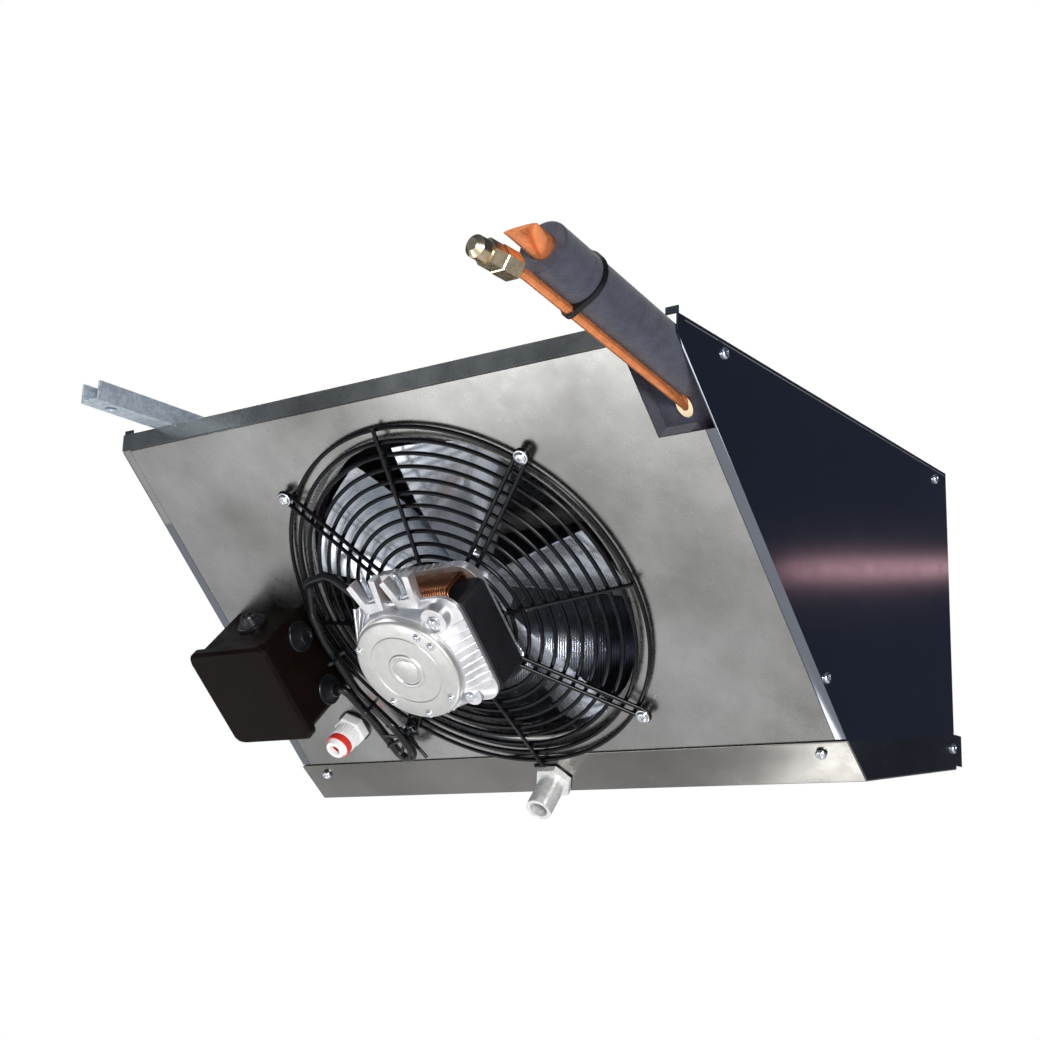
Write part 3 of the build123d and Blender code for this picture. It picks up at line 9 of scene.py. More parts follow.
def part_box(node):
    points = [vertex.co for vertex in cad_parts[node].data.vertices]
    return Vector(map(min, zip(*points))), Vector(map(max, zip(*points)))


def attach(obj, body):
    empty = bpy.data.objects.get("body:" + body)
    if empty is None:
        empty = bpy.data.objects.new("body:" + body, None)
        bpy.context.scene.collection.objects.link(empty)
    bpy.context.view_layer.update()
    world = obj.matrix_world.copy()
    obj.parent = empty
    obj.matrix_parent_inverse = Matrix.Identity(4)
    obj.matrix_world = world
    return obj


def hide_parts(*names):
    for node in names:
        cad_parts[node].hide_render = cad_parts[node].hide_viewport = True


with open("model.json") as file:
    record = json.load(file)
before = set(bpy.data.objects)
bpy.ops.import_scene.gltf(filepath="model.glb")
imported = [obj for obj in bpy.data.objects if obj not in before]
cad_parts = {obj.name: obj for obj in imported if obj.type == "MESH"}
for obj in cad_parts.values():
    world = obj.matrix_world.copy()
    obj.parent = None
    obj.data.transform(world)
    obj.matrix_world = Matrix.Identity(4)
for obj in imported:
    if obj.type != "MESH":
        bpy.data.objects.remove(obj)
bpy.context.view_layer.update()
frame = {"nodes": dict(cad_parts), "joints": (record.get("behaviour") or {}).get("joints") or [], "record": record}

MM = 0.001

# ---------------------------------------------------------------- places taken from the frame
spin = frame["joints"][0]
fan_out = Vector(spin["axis"]).normalized()
fan_up = fan_out.cross(Vector((1, 0, 0)))
FAN = Matrix.Translation(spin["pos_m"]) @ Matrix((Vector((1, 0, 0)), fan_up, fan_out)).transposed().to_4x4()
slope_angle = math.asin(-fan_out.y)


def frame_box(node):
    """Lowest and highest corner of a CAD node, as vectors."""
    low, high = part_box(node)
    return Vector(low), Vector(high)


# ---------------------------------------------------------------- materials
def node_tree(name):
    material = bpy.data.materials.new(name)
    material.use_nodes = True
    tree = material.node_tree
    return material, tree, tree.nodes["Principled BSDF"]


def coordinates(tree, stretch=(1, 1, 1), turn=(0, 0, 0)):
    """Texture place in the object's own coordinates, stretched or turned."""
    place = tree.nodes.new("ShaderNodeTexCoord")
    mapping = tree.nodes.new("ShaderNodeMapping")
    mapping.inputs["Scale"].default_value = stretch
    mapping.inputs["Rotation"].default_value = turn
    tree.links.new(place.outputs["Object"], mapping.inputs["Vector"])
    return mapping.outputs["Vector"]


def noise_value(tree, vector, scale, detail=4.0, roughness=0.55):
    texture = tree.nodes.new("ShaderNodeTexNoise")
    texture.inputs["Scale"].default_value = scale
    texture.inputs["Detail"].default_value = detail
    texture.inputs["Roughness"].default_value = roughness
    tree.links.new(vector, texture.inputs["Vector"])
    return texture.outputs["Fac"]


def ramp(tree, value, stops):
    """Colour ramp through (place, colour) stops."""
    node = tree.nodes.new("ShaderNodeValToRGB")
    while len(node.color_ramp.elements) < len(stops):
        node.color_ramp.elements.new(0.5)
    for element, (place, colour) in zip(node.color_ramp.elements, stops):
        element.position = place
        element.color = (*colour, 1)
    tree.links.new(value, node.inputs["Fac"])
    return node.outputs["Color"]


def span(tree, value, low, high, source=(0.3, 0.7)):
    """Value mapped onto low..high."""
    node = tree.nodes.new("ShaderNodeMapRange")
    node.inputs["From Min"].default_value = source[0]
    node.inputs["From Max"].default_value = source[1]
    node.inputs["To Min"].default_value = low
    node.inputs["To Max"].default_value = high
    tree.links.new(value, node.inputs["Value"])
    return node.outputs["Result"]


def bump(tree, shader, value, distance, strength=0.5, under=None):
    node = tree.nodes.new("ShaderNodeBump")
    node.inputs["Distance"].default_value = distance
    node.inputs["Strength"].default_value = strength
    tree.links.new(value, node.inputs["Height"])
    if under:
        tree.links.new(under, node.inputs["Normal"])
    tree.links.new(node.outputs["Normal"], shader.inputs["Normal"])
    return node.outputs["Normal"]


def rolled_sheet(
    name, dark, light, rough, cloud=5.0, grain=(30, 600, 600), wave=0.07, lines_seen=0.2, worn=0.05,
    metallic=1.0,
):
    """Rolled metal sheet: cloudy sheen, fine rolling lines and faint handling marks."""
    material, tree, shader = node_tree(name)
    clouds = noise_value(tree, coordinates(tree), cloud, 5)
    lines = noise_value(tree, coordinates(tree, grain), 1.0, 3)
    marks = noise_value(tree, coordinates(tree), 60, 6, 0.7)
    tree.links.new(ramp(tree, clouds, [(0.3, dark), (0.7, light)]), shader.inputs["Base Color"])
    shader.inputs["Metallic"].default_value = metallic
    tree.links.new(span(tree, marks, rough - worn, rough + worn), shader.inputs["Roughness"])
    fine = bump(tree, shader, lines, 0.00002, lines_seen)
    bump(tree, shader, clouds, 0.0006, wave, fine)
    return material


def plated(name, colour, rough, grain=900, depth=0.00003, metallic=1.0):
    """Plated or drawn small metal parts with slight stains."""
    material, tree, shader = node_tree(name)
    stains = noise_value(tree, coordinates(tree), 160, 5, 0.65)
    shade = [channel * 0.72 for channel in colour]
    tree.links.new(ramp(tree, stains, [(0.32, shade), (0.62, colour)]), shader.inputs["Base Color"])
    shader.inputs["Metallic"].default_value = metallic
    tree.links.new(span(tree, stains, rough + 0.12, rough - 0.04), shader.inputs["Roughness"])
    bump(tree, shader, noise_value(tree, coordinates(tree), grain, 2), depth, 0.5)
    return material


def cast_metal(name, colour, rough, worn=0.7):
    """Die-cast aluminium: fine pebbled skin with duller hollows."""
    material, tree, shader = node_tree(name)
    pebble = noise_value(tree, coordinates(tree), 1400, 3, 0.6)
    patches = noise_value(tree, coordinates(tree), 70, 5, 0.6)
    shade = [channel * worn for channel in colour]
    tree.links.new(ramp(tree, patches, [(0.35, shade), (0.65, colour)]), shader.inputs["Base Color"])
    shader.inputs["Metallic"].default_value = 0.9
    tree.links.new(span(tree, patches, rough + 0.1, rough - 0.08), shader.inputs["Roughness"])
    bump(tree, shader, pebble, 0.00012, 0.6)
    return material


def striped(name, dark, light, pitch, axis_turn, metallic, rough, depth):
    """Stacked stampings or wound wire: fine parallel ridges."""
    material, tree, shader = node_tree(name)
    wave = tree.nodes.new("ShaderNodeTexWave")
    wave.bands_direction = "Z"
    wave.inputs["Scale"].default_value = 2 * math.pi / (20 * pitch)
    wave.inputs["Distortion"].default_value = 0.4
    wave.inputs["Detail"].default_value = 1
    tree.links.new(coordinates(tree, (1, 1, 1), axis_turn), wave.inputs["Vector"])
    stains = noise_value(tree, coordinates(tree), 90, 4)
    mix = tree.nodes.new("ShaderNodeMix")
    mix.data_type = "RGBA"
    mix.blend_type = "MULTIPLY"
    mix.inputs["Factor"].default_value = 0.6
    tree.links.new(ramp(tree, wave.outputs["Fac"], [(0.15, dark), (0.75, light)]), mix.inputs["A"])
    tree.links.new(ramp(tree, stains, [(0.3, (0.5, 0.5, 0.5)), (0.7, (1, 1, 1))]), mix.inputs["B"])
    tree.links.new(mix.outputs["Result"], shader.inputs["Base Color"])
    shader.inputs["Metallic"].default_value = metallic
    tree.links.new(span(tree, stains, rough - 0.06, rough + 0.1), shader.inputs["Roughness"])
    bump(tree, shader, wave.outputs["Fac"], depth, 0.7)
    return material


def moulded(name, colour, rough, grain=900, depth=0.00004, shine=0.5, dust=0.25):
    """Moulded plastic or rubber: fine grain, faint dust in broad patches."""
    material, tree, shader = node_tree(name)
    patches = noise_value(tree, coordinates(tree), 45, 5, 0.6)
    pale = [channel + dust * (0.16 - 0.1 * channel) for channel in colour]
    tree.links.new(ramp(tree, patches, [(0.4, colour), (0.85, pale)]), shader.inputs["Base Color"])
    tree.links.new(span(tree, patches, rough - 0.05, rough + 0.12), shader.inputs["Roughness"])
    shader.inputs["Specular IOR Level"].default_value = shine
    bump(tree, shader, noise_value(tree, coordinates(tree), grain, 3), depth, 0.5)
    return material


def foam(name, colour):
    """Closed-cell foam: speckled open cells on a matt skin."""
    material, tree, shader = node_tree(name)
    cells = tree.nodes.new("ShaderNodeTexVoronoi")
    cells.inputs["Scale"].default_value = 700
    tree.links.new(coordinates(tree), cells.inputs["Vector"])
    patches = noise_value(tree, coordinates(tree), 120, 6, 0.7)
    pale = [channel * 2.2 for channel in colour]
    tree.links.new(ramp(tree, patches, [(0.35, colour), (0.7, pale)]), shader.inputs["Base Color"])
    shader.inputs["Roughness"].default_value = 0.9
    shader.inputs["Sheen Weight"].default_value = 0.25
    skin = bump(tree, shader, cells.outputs["Distance"], 0.0004, 0.5)
    bump(tree, shader, patches, 0.0012, 0.4, skin)
    return material


def spangled_zinc(name, dark, light, rough):
    """Galvanised steel with its crystal spangle."""
    material, tree, shader = node_tree(name)
    spangle = tree.nodes.new("ShaderNodeTexVoronoi")
    spangle.inputs["Scale"].default_value = 420
    tree.links.new(coordinates(tree), spangle.inputs["Vector"])
    grey = tree.nodes.new("ShaderNodeRGBToBW")
    tree.links.new(spangle.outputs["Color"], grey.inputs["Color"])
    shade = grey.outputs["Val"]
    tree.links.new(ramp(tree, shade, [(0.2, dark), (0.8, light)]), shader.inputs["Base Color"])
    shader.inputs["Metallic"].default_value = 0.6
    tree.links.new(span(tree, shade, rough - 0.08, rough + 0.1, (0, 1)), shader.inputs["Roughness"])
    bump(tree, shader, noise_value(tree, coordinates(tree), 500, 3), 0.00004, 0.4)
    return material


fan_turn = (-slope_angle - math.pi / 2, 0, 0)
MATERIALS = {
    "front_sheet": rolled_sheet("front_sheet", (0.185, 0.18, 0.17), (0.49, 0.49, 0.475), 0.28, 5.0,
                                (24, 500, 500)),
    # dark_sheet: the side panels are the same aluminium as the front panel; this dark navy base colour is painted
    # shade, standing in for the dark room that the sides mirror.
    "dark_sheet": rolled_sheet("dark_sheet", (0.17, 0.185, 0.22), (0.22, 0.23, 0.26), 0.12, 3.0, wave=0.012,
                               lines_seen=0.04, worn=0.015),
    # tray_sheet: base colour darker than the front sheet; this is painted shade for the darker bottom of the unit.
    "tray_sheet": rolled_sheet("tray_sheet", (0.135, 0.128, 0.12), (0.27, 0.26, 0.245), 0.24, 7.0),
    "rail_steel": spangled_zinc("rail_steel", (0.50, 0.57, 0.63), (0.68, 0.76, 0.82), 0.34),
    "zinc": plated("zinc", (0.80, 0.83, 0.87), 0.16),
    "fin_aluminium": rolled_sheet("fin_aluminium", (0.42, 0.46, 0.55), (0.68, 0.73, 0.84), 0.24, 12.0),
    "blade_metal": rolled_sheet("blade_metal", (0.62, 0.66, 0.74), (0.88, 0.92, 0.98), 0.20, 6.0,
                                (30, 200, 30), 0.03, metallic=0.8),
    "copper": plated("copper", (1.0, 0.33, 0.12), 0.20, 500, 0.00003, 0.7),
    "foam": foam("foam", (0.022, 0.023, 0.036)),
    "brass": plated("brass", (0.80, 0.64, 0.42), 0.18),
    "tie_plastic": moulded("tie_plastic", (0.006, 0.006, 0.007), 0.30, shine=0.4, dust=0.05),
    "guard_wire": moulded("guard_wire", (0.002, 0.002, 0.003), 0.12, 1200, 0.00001, 0.22, 0.0),
    "cast_motor": cast_metal("cast_motor", (0.84, 0.83, 0.85), 0.36),
    "cap_metal": cast_metal("cap_metal", (0.66, 0.65, 0.63), 0.40, 0.84),
    "laminations": striped("laminations", (0.004, 0.004, 0.006), (0.04, 0.04, 0.05), 0.0011, fan_turn,
                           0.5, 0.32, 0.0001),
    "windings": plated("windings", (0.22, 0.085, 0.04), 0.30),
    "shaft_steel": plated("shaft_steel", (0.6, 0.6, 0.62), 0.25),
    "box_plastic": moulded("box_plastic", (0.0055, 0.0030, 0.0022), 0.30, 500, 0.00003, 0.06, 0.01),
    "terminal_white": moulded("terminal_white", (0.86, 0.86, 0.84), 0.40),
    "gland_red": moulded("gland_red", (0.72, 0.03, 0.02), 0.35),
    "black_rubber": moulded("black_rubber", (0.006, 0.006, 0.008), 0.30, shine=0.5, dust=0.03),
    "cable_black": moulded("cable_black", (0.005, 0.005, 0.006), 0.22, 1500, 0.00002, 0.4, 0.02),
    "drain_plastic": plated("drain_plastic", (0.90, 0.90, 0.88), 0.20, metallic=0.45),
}
LOOKS = {"impeller": "blade_metal", "motor_cap": "cap_metal"}
SLOT_OF = {entry["node"]: entry["material_slot"] for entry in frame["record"]["subparts"]}
for node_name, node in frame["nodes"].items():
    node.data.materials.clear()
    node.data.materials.append(MATERIALS[LOOKS.get(node_name, SLOT_OF[node_name])])
    for polygon in node.data.polygons:
        polygon.material_index = 0


# ---------------------------------------------------------------- mesh tools
SHARP_EDGE = math.radians(35)     # faces that meet at more than this have an edge between them


def finish_piece(name, bm, slot, replaced=(), look=None):
    """Object on the cooler from a bmesh, with its finish and the CAD nodes that it stands for."""
    mesh = mesh_of(bm, name)
    piece = bpy.data.objects.new(name, mesh)
    bpy.context.scene.collection.objects.link(piece)
    mesh.materials.clear()
    mesh.materials.append(MATERIALS[look or slot])
    for polygon in mesh.polygons:
        polygon.material_index = 0
        polygon.use_smooth = True
    mesh.set_sharp_from_angle(angle=SHARP_EDGE)
    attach(piece, "cooler")
    if replaced:
        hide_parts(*replaced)
    return piece


def mesh_of(bm, name):
    bmesh.ops.recalc_face_normals(bm, faces=bm.faces)
    mesh = bpy.data.meshes.new(name)
    bm.to_mesh(mesh)
    bm.free()
    return mesh


def softened(node, width):
    """Copy of a CAD node with its edges broken, as bent sheet and castings have them."""
    bm = bmesh.new()
    bm.from_mesh(frame["nodes"][node].data)
    bmesh.ops.remove_doubles(bm, verts=bm.verts, dist=0.01 * MM)
    bmesh.ops.dissolve_limit(bm, angle_limit=math.radians(0.6), verts=bm.verts, edges=bm.edges)
    piece = finish_piece(node + "_soft", bm, SLOT_OF[node], (node,))
    edge = piece.modifiers.new("edges", "BEVEL")
    edge.width = width * MM
    edge.segments = 3
    edge.limit_method = "ANGLE"
    edge.angle_limit = SHARP_EDGE
    edge.harden_normals = True
    return piece


def revolved(bm, place, profile, segments=40):
    """Solid of revolution about place's z axis; a radius may be a function of the angle."""
    rings = []
    for radius, height in profile:
        ring = []
        for step in range(segments):
            angle = 2 * math.pi * step / segments
            reach = radius(angle) if callable(radius) else radius
            spot = Vector((reach * math.cos(angle), reach * math.sin(angle), height)) * MM
            ring.append(bm.verts.new(place @ spot))
        rings.append(ring)
    for lower, upper in zip(rings, rings[1:]):
        for step in range(segments):
            after = (step + 1) % segments
            bm.faces.new((lower[step], lower[after], upper[after], upper[step]))
    bm.faces.new(list(reversed(rings[0])))
    bm.faces.new(rings[-1])


def frame_at(origin, axis, turn=0.0):
    """Placement with z along axis at a point given in metres."""
    quarter = Vector(axis).to_track_quat("Z", "Y").to_matrix().to_4x4()
    return Matrix.Translation(origin) @ quarter @ Matrix.Rotation(turn, 4, "Z")


def on_fan(x, up, height=0.0):
    """Point in metres from millimetres across, up and off the fan panel."""
    return FAN @ (Vector((x, up, height)) * MM)


def on_fan_frame(x, up, height=0.0, turn=0.0):
    return FAN @ Matrix.Translation(Vector((x, up, height)) * MM) @ Matrix.Rotation(turn, 4, "Z")


def hexagon(flats):
    """Radius of a hexagon as a function of the angle."""
    return lambda angle: flats / 2 / math.cos((angle + math.pi / 6) % (math.pi / 3) - math.pi / 6)


def cross_recess(radius):
    """Radius of a cross recess as a function of the angle."""
    return lambda angle: radius * (0.52 + 0.48 * max(0.0, math.cos(4 * angle)) ** 0.6)


def pan_head(bm, place, radius, height, shank, reach):
    """Screw with a domed head, a cross recess and its shank."""
    recess = radius * 0.52
    profile = [
        (shank, -reach), (shank, 0), (radius * 0.97, 0), (radius, height * 0.2),
        (radius * 0.96, height * 0.5), (radius * 0.84, height * 0.8), (radius * 0.66, height * 0.96),
        (cross_recess(recess), height), (cross_recess(recess * 0.94), height * 0.9),
        (cross_recess(recess * 0.55), height * 0.3), (radius * 0.06, height * 0.22),
    ]
    revolved(bm, place, profile, 48)


def flange_head(bm, place, flats, height, shank, reach):
    """Hexagon bolt or nut with a washer face and chamfered corners."""
    profile = [
        (shank, -reach), (shank, 0), (flats * 0.62, 0), (flats * 0.66, height * 0.1),
        (flats * 0.62, height * 0.24), (hexagon(flats), height * 0.3), (hexagon(flats), height * 0.84),
        (flats * 0.45, height), (flats * 0.1, height),
    ]
    revolved(bm, place, profile, 48)


def stud(bm, place, radius, reach, pitch=0.8):
    """Threaded stud from the placement's origin along its axis."""
    profile = []
    for turn in range(int(reach / pitch)):
        profile += [(radius, pitch * turn), (radius * 0.84, pitch * (turn + 0.5))]
    profile += [(radius, reach - pitch / 2), (radius * 0.7, reach)]
    revolved(bm, place, profile, 20)


def wires(name, runs, radius, slot, replaced=()):
    """Round wire along each run of points; a run is (points, closed)."""
    curve = bpy.data.curves.new(name, "CURVE")
    curve.dimensions = "3D"
    curve.bevel_depth = radius * MM
    curve.bevel_resolution = 3
    curve.use_fill_caps = True
    for points, closed in runs:
        spline = curve.splines.new("POLY")
        spline.points.add(len(points) - 1)
        for spot, point in zip(spline.points, points):
            spot.co = (*point, 1)
        spline.use_cyclic_u = closed
        spline.use_smooth = True
    piece = bpy.data.objects.new(name, curve)
    bpy.context.scene.collection.objects.link(piece)
    curve.materials.append(MATERIALS[slot])
    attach(piece, "cooler")
    if replaced:
        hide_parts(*replaced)
    return piece


# ---------------------------------------------------------------- fan guard in round wire
# Millimetres: reach is the distance from the fan's axis, height the distance off the fan panel.
WIRE = 3.2
WIRE_LAP = 0.97            # share of a wire that each ring lies below the arms
RING_STEPS = 160
OUTER_RING = 146.0
RING_STEP = 9.4
RING_COUNT = 11
INNER_RING = 46.0
FLAT_REACH = 49.0          # from here the arms slope down to their feet
FLAT_HEIGHT = 25.4
FOOT_REACH = 148.0
FOOT_HEIGHT = 6.0
LUG_REACH = 152.7          # screws that the double arms bend round
LOOP_INNER = 39.0
LOOP_OUTER = LUG_REACH + 0.8
LOOP_HALF = 4.0            # half the gap between a double arm's wires
ARM_STEPS = 10
BEND_STEPS = 12
HOOK = ((150.4, 0, 4.4), (151.5, -1.5, 3.0), (151.5, -10, 2.8))     # end of the lowest arm
LUG_WASHER = ((2, -14), (2, 0), (5.2, 0), (5.2, 0.8), (4.9, 0.9), (2, 0.9))
LUG_WASHER_HEIGHT = 7.6
LUG_HEAD = (4.4, 2.2, 2.0, 1)      # head radius and height, shank radius and reach
LUG_HEAD_HEIGHT = 8.4
SPACER = ((2.1, 0), (4.2, 0), (4.4, 0.2), (4.4, 4.2), (4.2, 4.4), (2.1, 4.4))
CORNERS = [math.radians(turn) for turn in (45, 135, 225, 315)]
STRAIGHTS = [math.radians(turn) for turn in (0, 90, 180, 270)]


def arm_height(reach):
    """Height of the guard's arms at a reach."""
    share = max(0.0, reach - FLAT_REACH) / (FOOT_REACH - FLAT_REACH)
    return FLAT_HEIGHT - (FLAT_HEIGHT - FOOT_HEIGHT) * min(share, 1.0)


def polar(reach, across, height, turn):
    """Point on the guard from its reach, its distance to the side, its height and the arm's turn."""
    x = reach * math.cos(turn) - across * math.sin(turn)
    up = reach * math.sin(turn) + across * math.cos(turn)
    return on_fan(x, up, height)


def arm_reaches():
    """Reaches along an arm's slope, from its flat part to its foot."""
    step = (FOOT_REACH - FLAT_REACH) / ARM_STEPS
    return [FLAT_REACH + place * step for place in range(ARM_STEPS + 1)]


def half_turn(reach, start):
    """Bend of a double arm: half a turn about a reach."""
    angles = [math.pi * (start + step / BEND_STEPS) for step in range(BEND_STEPS + 1)]
    return [(reach + LOOP_HALF * math.cos(angle), LOOP_HALF * math.sin(angle)) for angle in angles]


def guard_wires():
    """Rings of the guard, and its double and single arms."""
    rings = [OUTER_RING - RING_STEP * place for place in range(RING_COUNT)] + [INNER_RING]
    runs = []
    for reach in rings:
        level = arm_height(reach) - WIRE * WIRE_LAP
        turns = [2 * math.pi * step / RING_STEPS for step in range(RING_STEPS)]
        runs.append(([polar(reach, 0, level, turn) for turn in turns], True))
    wires("guard_rings_round", runs, WIRE / 2, "guard_wire", ("guard_rings",))

    arms = []
    for turn in CORNERS:
        loop = half_turn(LOOP_INNER, 0.5)
        loop += [(reach, -LOOP_HALF) for reach in arm_reaches()]
        loop += half_turn(LOOP_OUTER, -0.5)
        loop += [(reach, LOOP_HALF) for reach in reversed(arm_reaches())]
        arms.append(([polar(reach, across, arm_height(reach), turn) for reach, across in loop], True))
    for turn in STRAIGHTS:
        points = [polar(reach, 0, arm_height(reach), turn) for reach in [INNER_RING - 1] + arm_reaches()]
        if turn == STRAIGHTS[-1]:
            points += [polar(*spot, turn) for spot in HOOK]
        arms.append((points, False))
    wires("guard_arms_round", arms, WIRE / 2, "guard_wire", ("guard_arms",))


def guard_feet():
    """Screws and spacers at the ends of the double arms."""
    screws = bmesh.new()
    spacers = bmesh.new()
    for turn in CORNERS:
        x, up = LUG_REACH * math.cos(turn), LUG_REACH * math.sin(turn)
        revolved(screws, on_fan_frame(x, up, LUG_WASHER_HEIGHT), LUG_WASHER, 40)
        pan_head(screws, on_fan_frame(x, up, LUG_HEAD_HEIGHT, turn * 1.7), *LUG_HEAD)
        revolved(spacers, on_fan_frame(x, up), SPACER, 32)
    finish_piece("guard_screws_fine", screws, "zinc", ("guard_screws",))
    finish_piece("guard_spacers_fine", spacers, SLOT_OF["guard_spacers"], ("guard_spacers",))


# ---------------------------------------------------------------- fan motor
SHIELD_RADIUS = 43.2       # front shield where its skirt ends
FRONT_SKIRT = (67.5, 79.0)
SKIRT_RIGHT, SKIRT_BOTTOM, SKIRT_TOP = 52.0, -41.9, 43.2
RIB_CREST = 42.6
REAR_RIM = (27.6, 33.6)
RIM_RIGHT, RIM_BOTTOM, RIM_TOP = 49.9, -43.9, 47.9
RIB_STEP = 6
TOP_RIB_STEP = 5
FRONT_RIB_RADIUS = 0.9
REAR_RIB_RADIUS = 0.8
CAP_PROFILE = (
    (0.5, 80), (41, 80), (41, 84), (40.6, 84.9), (39.6, 85.6), (38.5, 86), (28.4, 86), (27.9, 86.5),
    (26.9, 86.5), (26.4, 86), (14.2, 86), (13.7, 86.9), (13.2, 87.2), (11.6, 87.2), (11.1, 86.9),
    (10.7, 86.1), (9.7, 86.1), (9.2, 86.8), (8.6, 87), (0.5, 87),
)
CAP_FACE = 86
CAP_SCREWS = ((36.0, 30), (35.0, 48), (37.5, 148), (35.5, 224), (37.0, 270), (36.0, 316))
CAP_SCREW_SEAT = ((3.3, -0.5), (3.3, 0.2), (2.9, 0.5), (2.6, 0.5))
CAP_HEAD = (2.4, 1.4, 1.2, 1)
COIL_LAYERS = 2
COIL_TURNS = 22
COIL_STEP = 2.04
COIL_WIRE = 0.88
COIL_TOP = 45.6
BOSSES = ((36.0, 32.0, 78.0), (33.0, -32.0, 75.0))
MOTOR_HEAD = (7.0, 3.0, 2.0)       # width over flats, height, shank radius
THROUGH_BOLT = 44
LUG_BOLTS = (-14.0, 16.0)
LUG_BOLT_SEAT = (49, 69.0)
LUG_BOLT_REACH = 12
STUD_REACH = 18
MOUNT_REACH = 40
MOUNT_HEAD = (7.2, 3.0, 2.0, 8)


def shield_edge(across):
    """Distance from the motor's axis line to the round top of the front shield."""
    return SHIELD_RADIUS * math.cos(math.asin(across / SHIELD_RADIUS))


def motor_ribs():
    """Cast ribs on the two shields' skirts."""
    low, high = FRONT_SKIRT
    runs = []
    for up in range(-24, 25, RIB_STEP):
        crest = RIB_CREST * math.cos(math.asin(up / SHIELD_RADIUS))
        runs.append(([on_fan(SKIRT_RIGHT, up, low), on_fan(crest, up, high + 0.3)], False))
    for x in range(-26, 27, RIB_STEP):
        runs.append(([on_fan(x, SKIRT_BOTTOM, low), on_fan(x, 0.6 - shield_edge(x), high)], False))
    for x in range(-36, -19, TOP_RIB_STEP):
        runs.append(([on_fan(x, SKIRT_TOP, low), on_fan(x, shield_edge(x) - 0.4, high)], False))
    wires("motor_front_ribs", runs, FRONT_RIB_RADIUS, "cast_motor")

    low, high = REAR_RIM
    runs = []
    for up in range(-30, 35, RIB_STEP):
        runs.append(([on_fan(RIM_RIGHT, up, low), on_fan(RIM_RIGHT, up + 2, high)], False))
    for x in range(-28, 33, RIB_STEP):
        for edge in (RIM_BOTTOM, RIM_TOP):
            runs.append(([on_fan(x, edge, low), on_fan(x, edge, high)], False))
    wires("motor_rear_ribs", runs, REAR_RIB_RADIUS, "cast_motor")


def motor_cap():
    """Round cap with its rings and the screws near its rim."""
    cap = bmesh.new()
    revolved(cap, FAN, CAP_PROFILE, 96)
    heads = bmesh.new()
    for reach, turn in CAP_SCREWS:
        angle = math.radians(turn)
        x, up = reach * math.cos(angle), reach * math.sin(angle)
        revolved(cap, on_fan_frame(x, up, CAP_FACE, angle), CAP_SCREW_SEAT, 24)
        pan_head(heads, on_fan_frame(x, up, CAP_FACE + 0.4, angle), *CAP_HEAD)
    finish_piece("cap_screws", heads, "zinc")
    finish_piece("motor_cap_fine", cap, SLOT_OF["motor_cap"], ("motor_cap",), "cap_metal")


def motor_coils():
    """Wound coil head: turns side by side over the laminations."""
    runs = []
    for layer in range(COIL_LAYERS):
        top, inset = COIL_TOP - 1.4 * layer, 1.1 * layer
        for turn in range(COIL_TURNS):
            x = -1.0 + layer + turn * COIL_STEP
            bend = (
                (38, 35.5 + inset), (top - 2, 36.4 + inset), (top, 39 + inset), (top + 0.2, 49),
                (top, 59 - inset), (top - 2, 61.6 - inset), (38, 62.5 - inset),
            )
            runs.append(([on_fan(x, up, height) for up, height in bend], False))
    wires("motor_coil_turns", runs, COIL_WIRE, "windings", ("motor_windings",))


def motor_fasteners():
    """Through bolts in the bosses, studs on the V lugs and the screws from the guard."""
    bolts = bmesh.new()
    for spot in BOSSES:
        flange_head(bolts, on_fan_frame(*spot), *MOTOR_HEAD, THROUGH_BOLT)
    finish_piece("motor_bolts_fine", bolts, "zinc", ("motor_bolts",))
    studs = bmesh.new()
    for x in LUG_BOLTS:
        place = frame_at(on_fan(x, *LUG_BOLT_SEAT), fan_up)
        flange_head(studs, place, *MOTOR_HEAD, LUG_BOLT_REACH)
        stud(studs, place, MOTOR_HEAD[2], STUD_REACH)
    finish_piece("lug_bolts_fine", studs, "zinc", ("lug_bolts",))
    mounts = bmesh.new()
    for turn in CORNERS:
        seat = on_fan(MOUNT_REACH * math.cos(turn), MOUNT_REACH * math.sin(turn), FLAT_HEIGHT - WIRE / 2)
        flange_head(mounts, frame_at(seat, -fan_out), *MOUNT_HEAD)
    finish_piece("motor_mount_screws_fine", mounts, "zinc", ("motor_mount_screws",))


# ---------------------------------------------------------------- coil, screws and wiring
FIN_PITCH = 2.5
FIN_WAVES = 12
FIN_WAVE = 0.35
FIN_SHEET = 0.15
TRAY_OUT = Vector((0, -0.63203, -0.77494))     # off the drip tray's front
CASING_HEAD = (4.0, 2.4, 2.0, 6)
SIDE_SCREW_SPAN = 9.5      # a screw longer than this along x sits in a side
FRONT_SCREW_SEAT = 3.3
GROMMET = (
    (8, -2), (8, 0), (11.7, 0), (12, 0.4), (12, 2.6), (11.6, 3), (9.9, 3.1), (9.6, 4.6), (8.6, 4.7),
    (8.3, 6.1), (7.5, 6.2), (7.2, 7.6), (6.6, 7.7), (6.3, 9.4), (6.0, 9.9), (4.2, 10), (3.7, 9.6),
    (3.55, 8.5),
)
GROMMET_HEIGHT = 19.5
LID_FACE = 60
LID_SCREW_X = (-225.0, -162.0)
LID_SCREW_UP = (-63.0, 4.0)
LID_PLUG = ((2, -17), (2, -0.5), (3.4, -0.5), (3.4, 0.03), (1, 0.04))
TIE_X, TIE_UP, TIE_HEIGHT = -109.0, -110.0, 9
TIE_RADIUS = 1.5
TIE_START = 1.5
TIE_RING = 4.6
TIE_TURN = 0.5236          # a twelfth of a turn
TIE_TAILS = (      # turn in degrees, length and lift
    (15, 15, 6), (38, 19, 11), (75, 12, 8), (112, 18, 10), (150, 17, 12), (196, 20, 8), (228, 24, 4),
    (262, 19, 9), (300, 23, 6), (332, 16, 11),
)
LEFT_EDGE = (Vector((-248.7, 100.9, -1.2)), Vector((-242.1, 168.4, -0.02)))
HEM_RADIUS = 0.5
HEM_DROP = 7
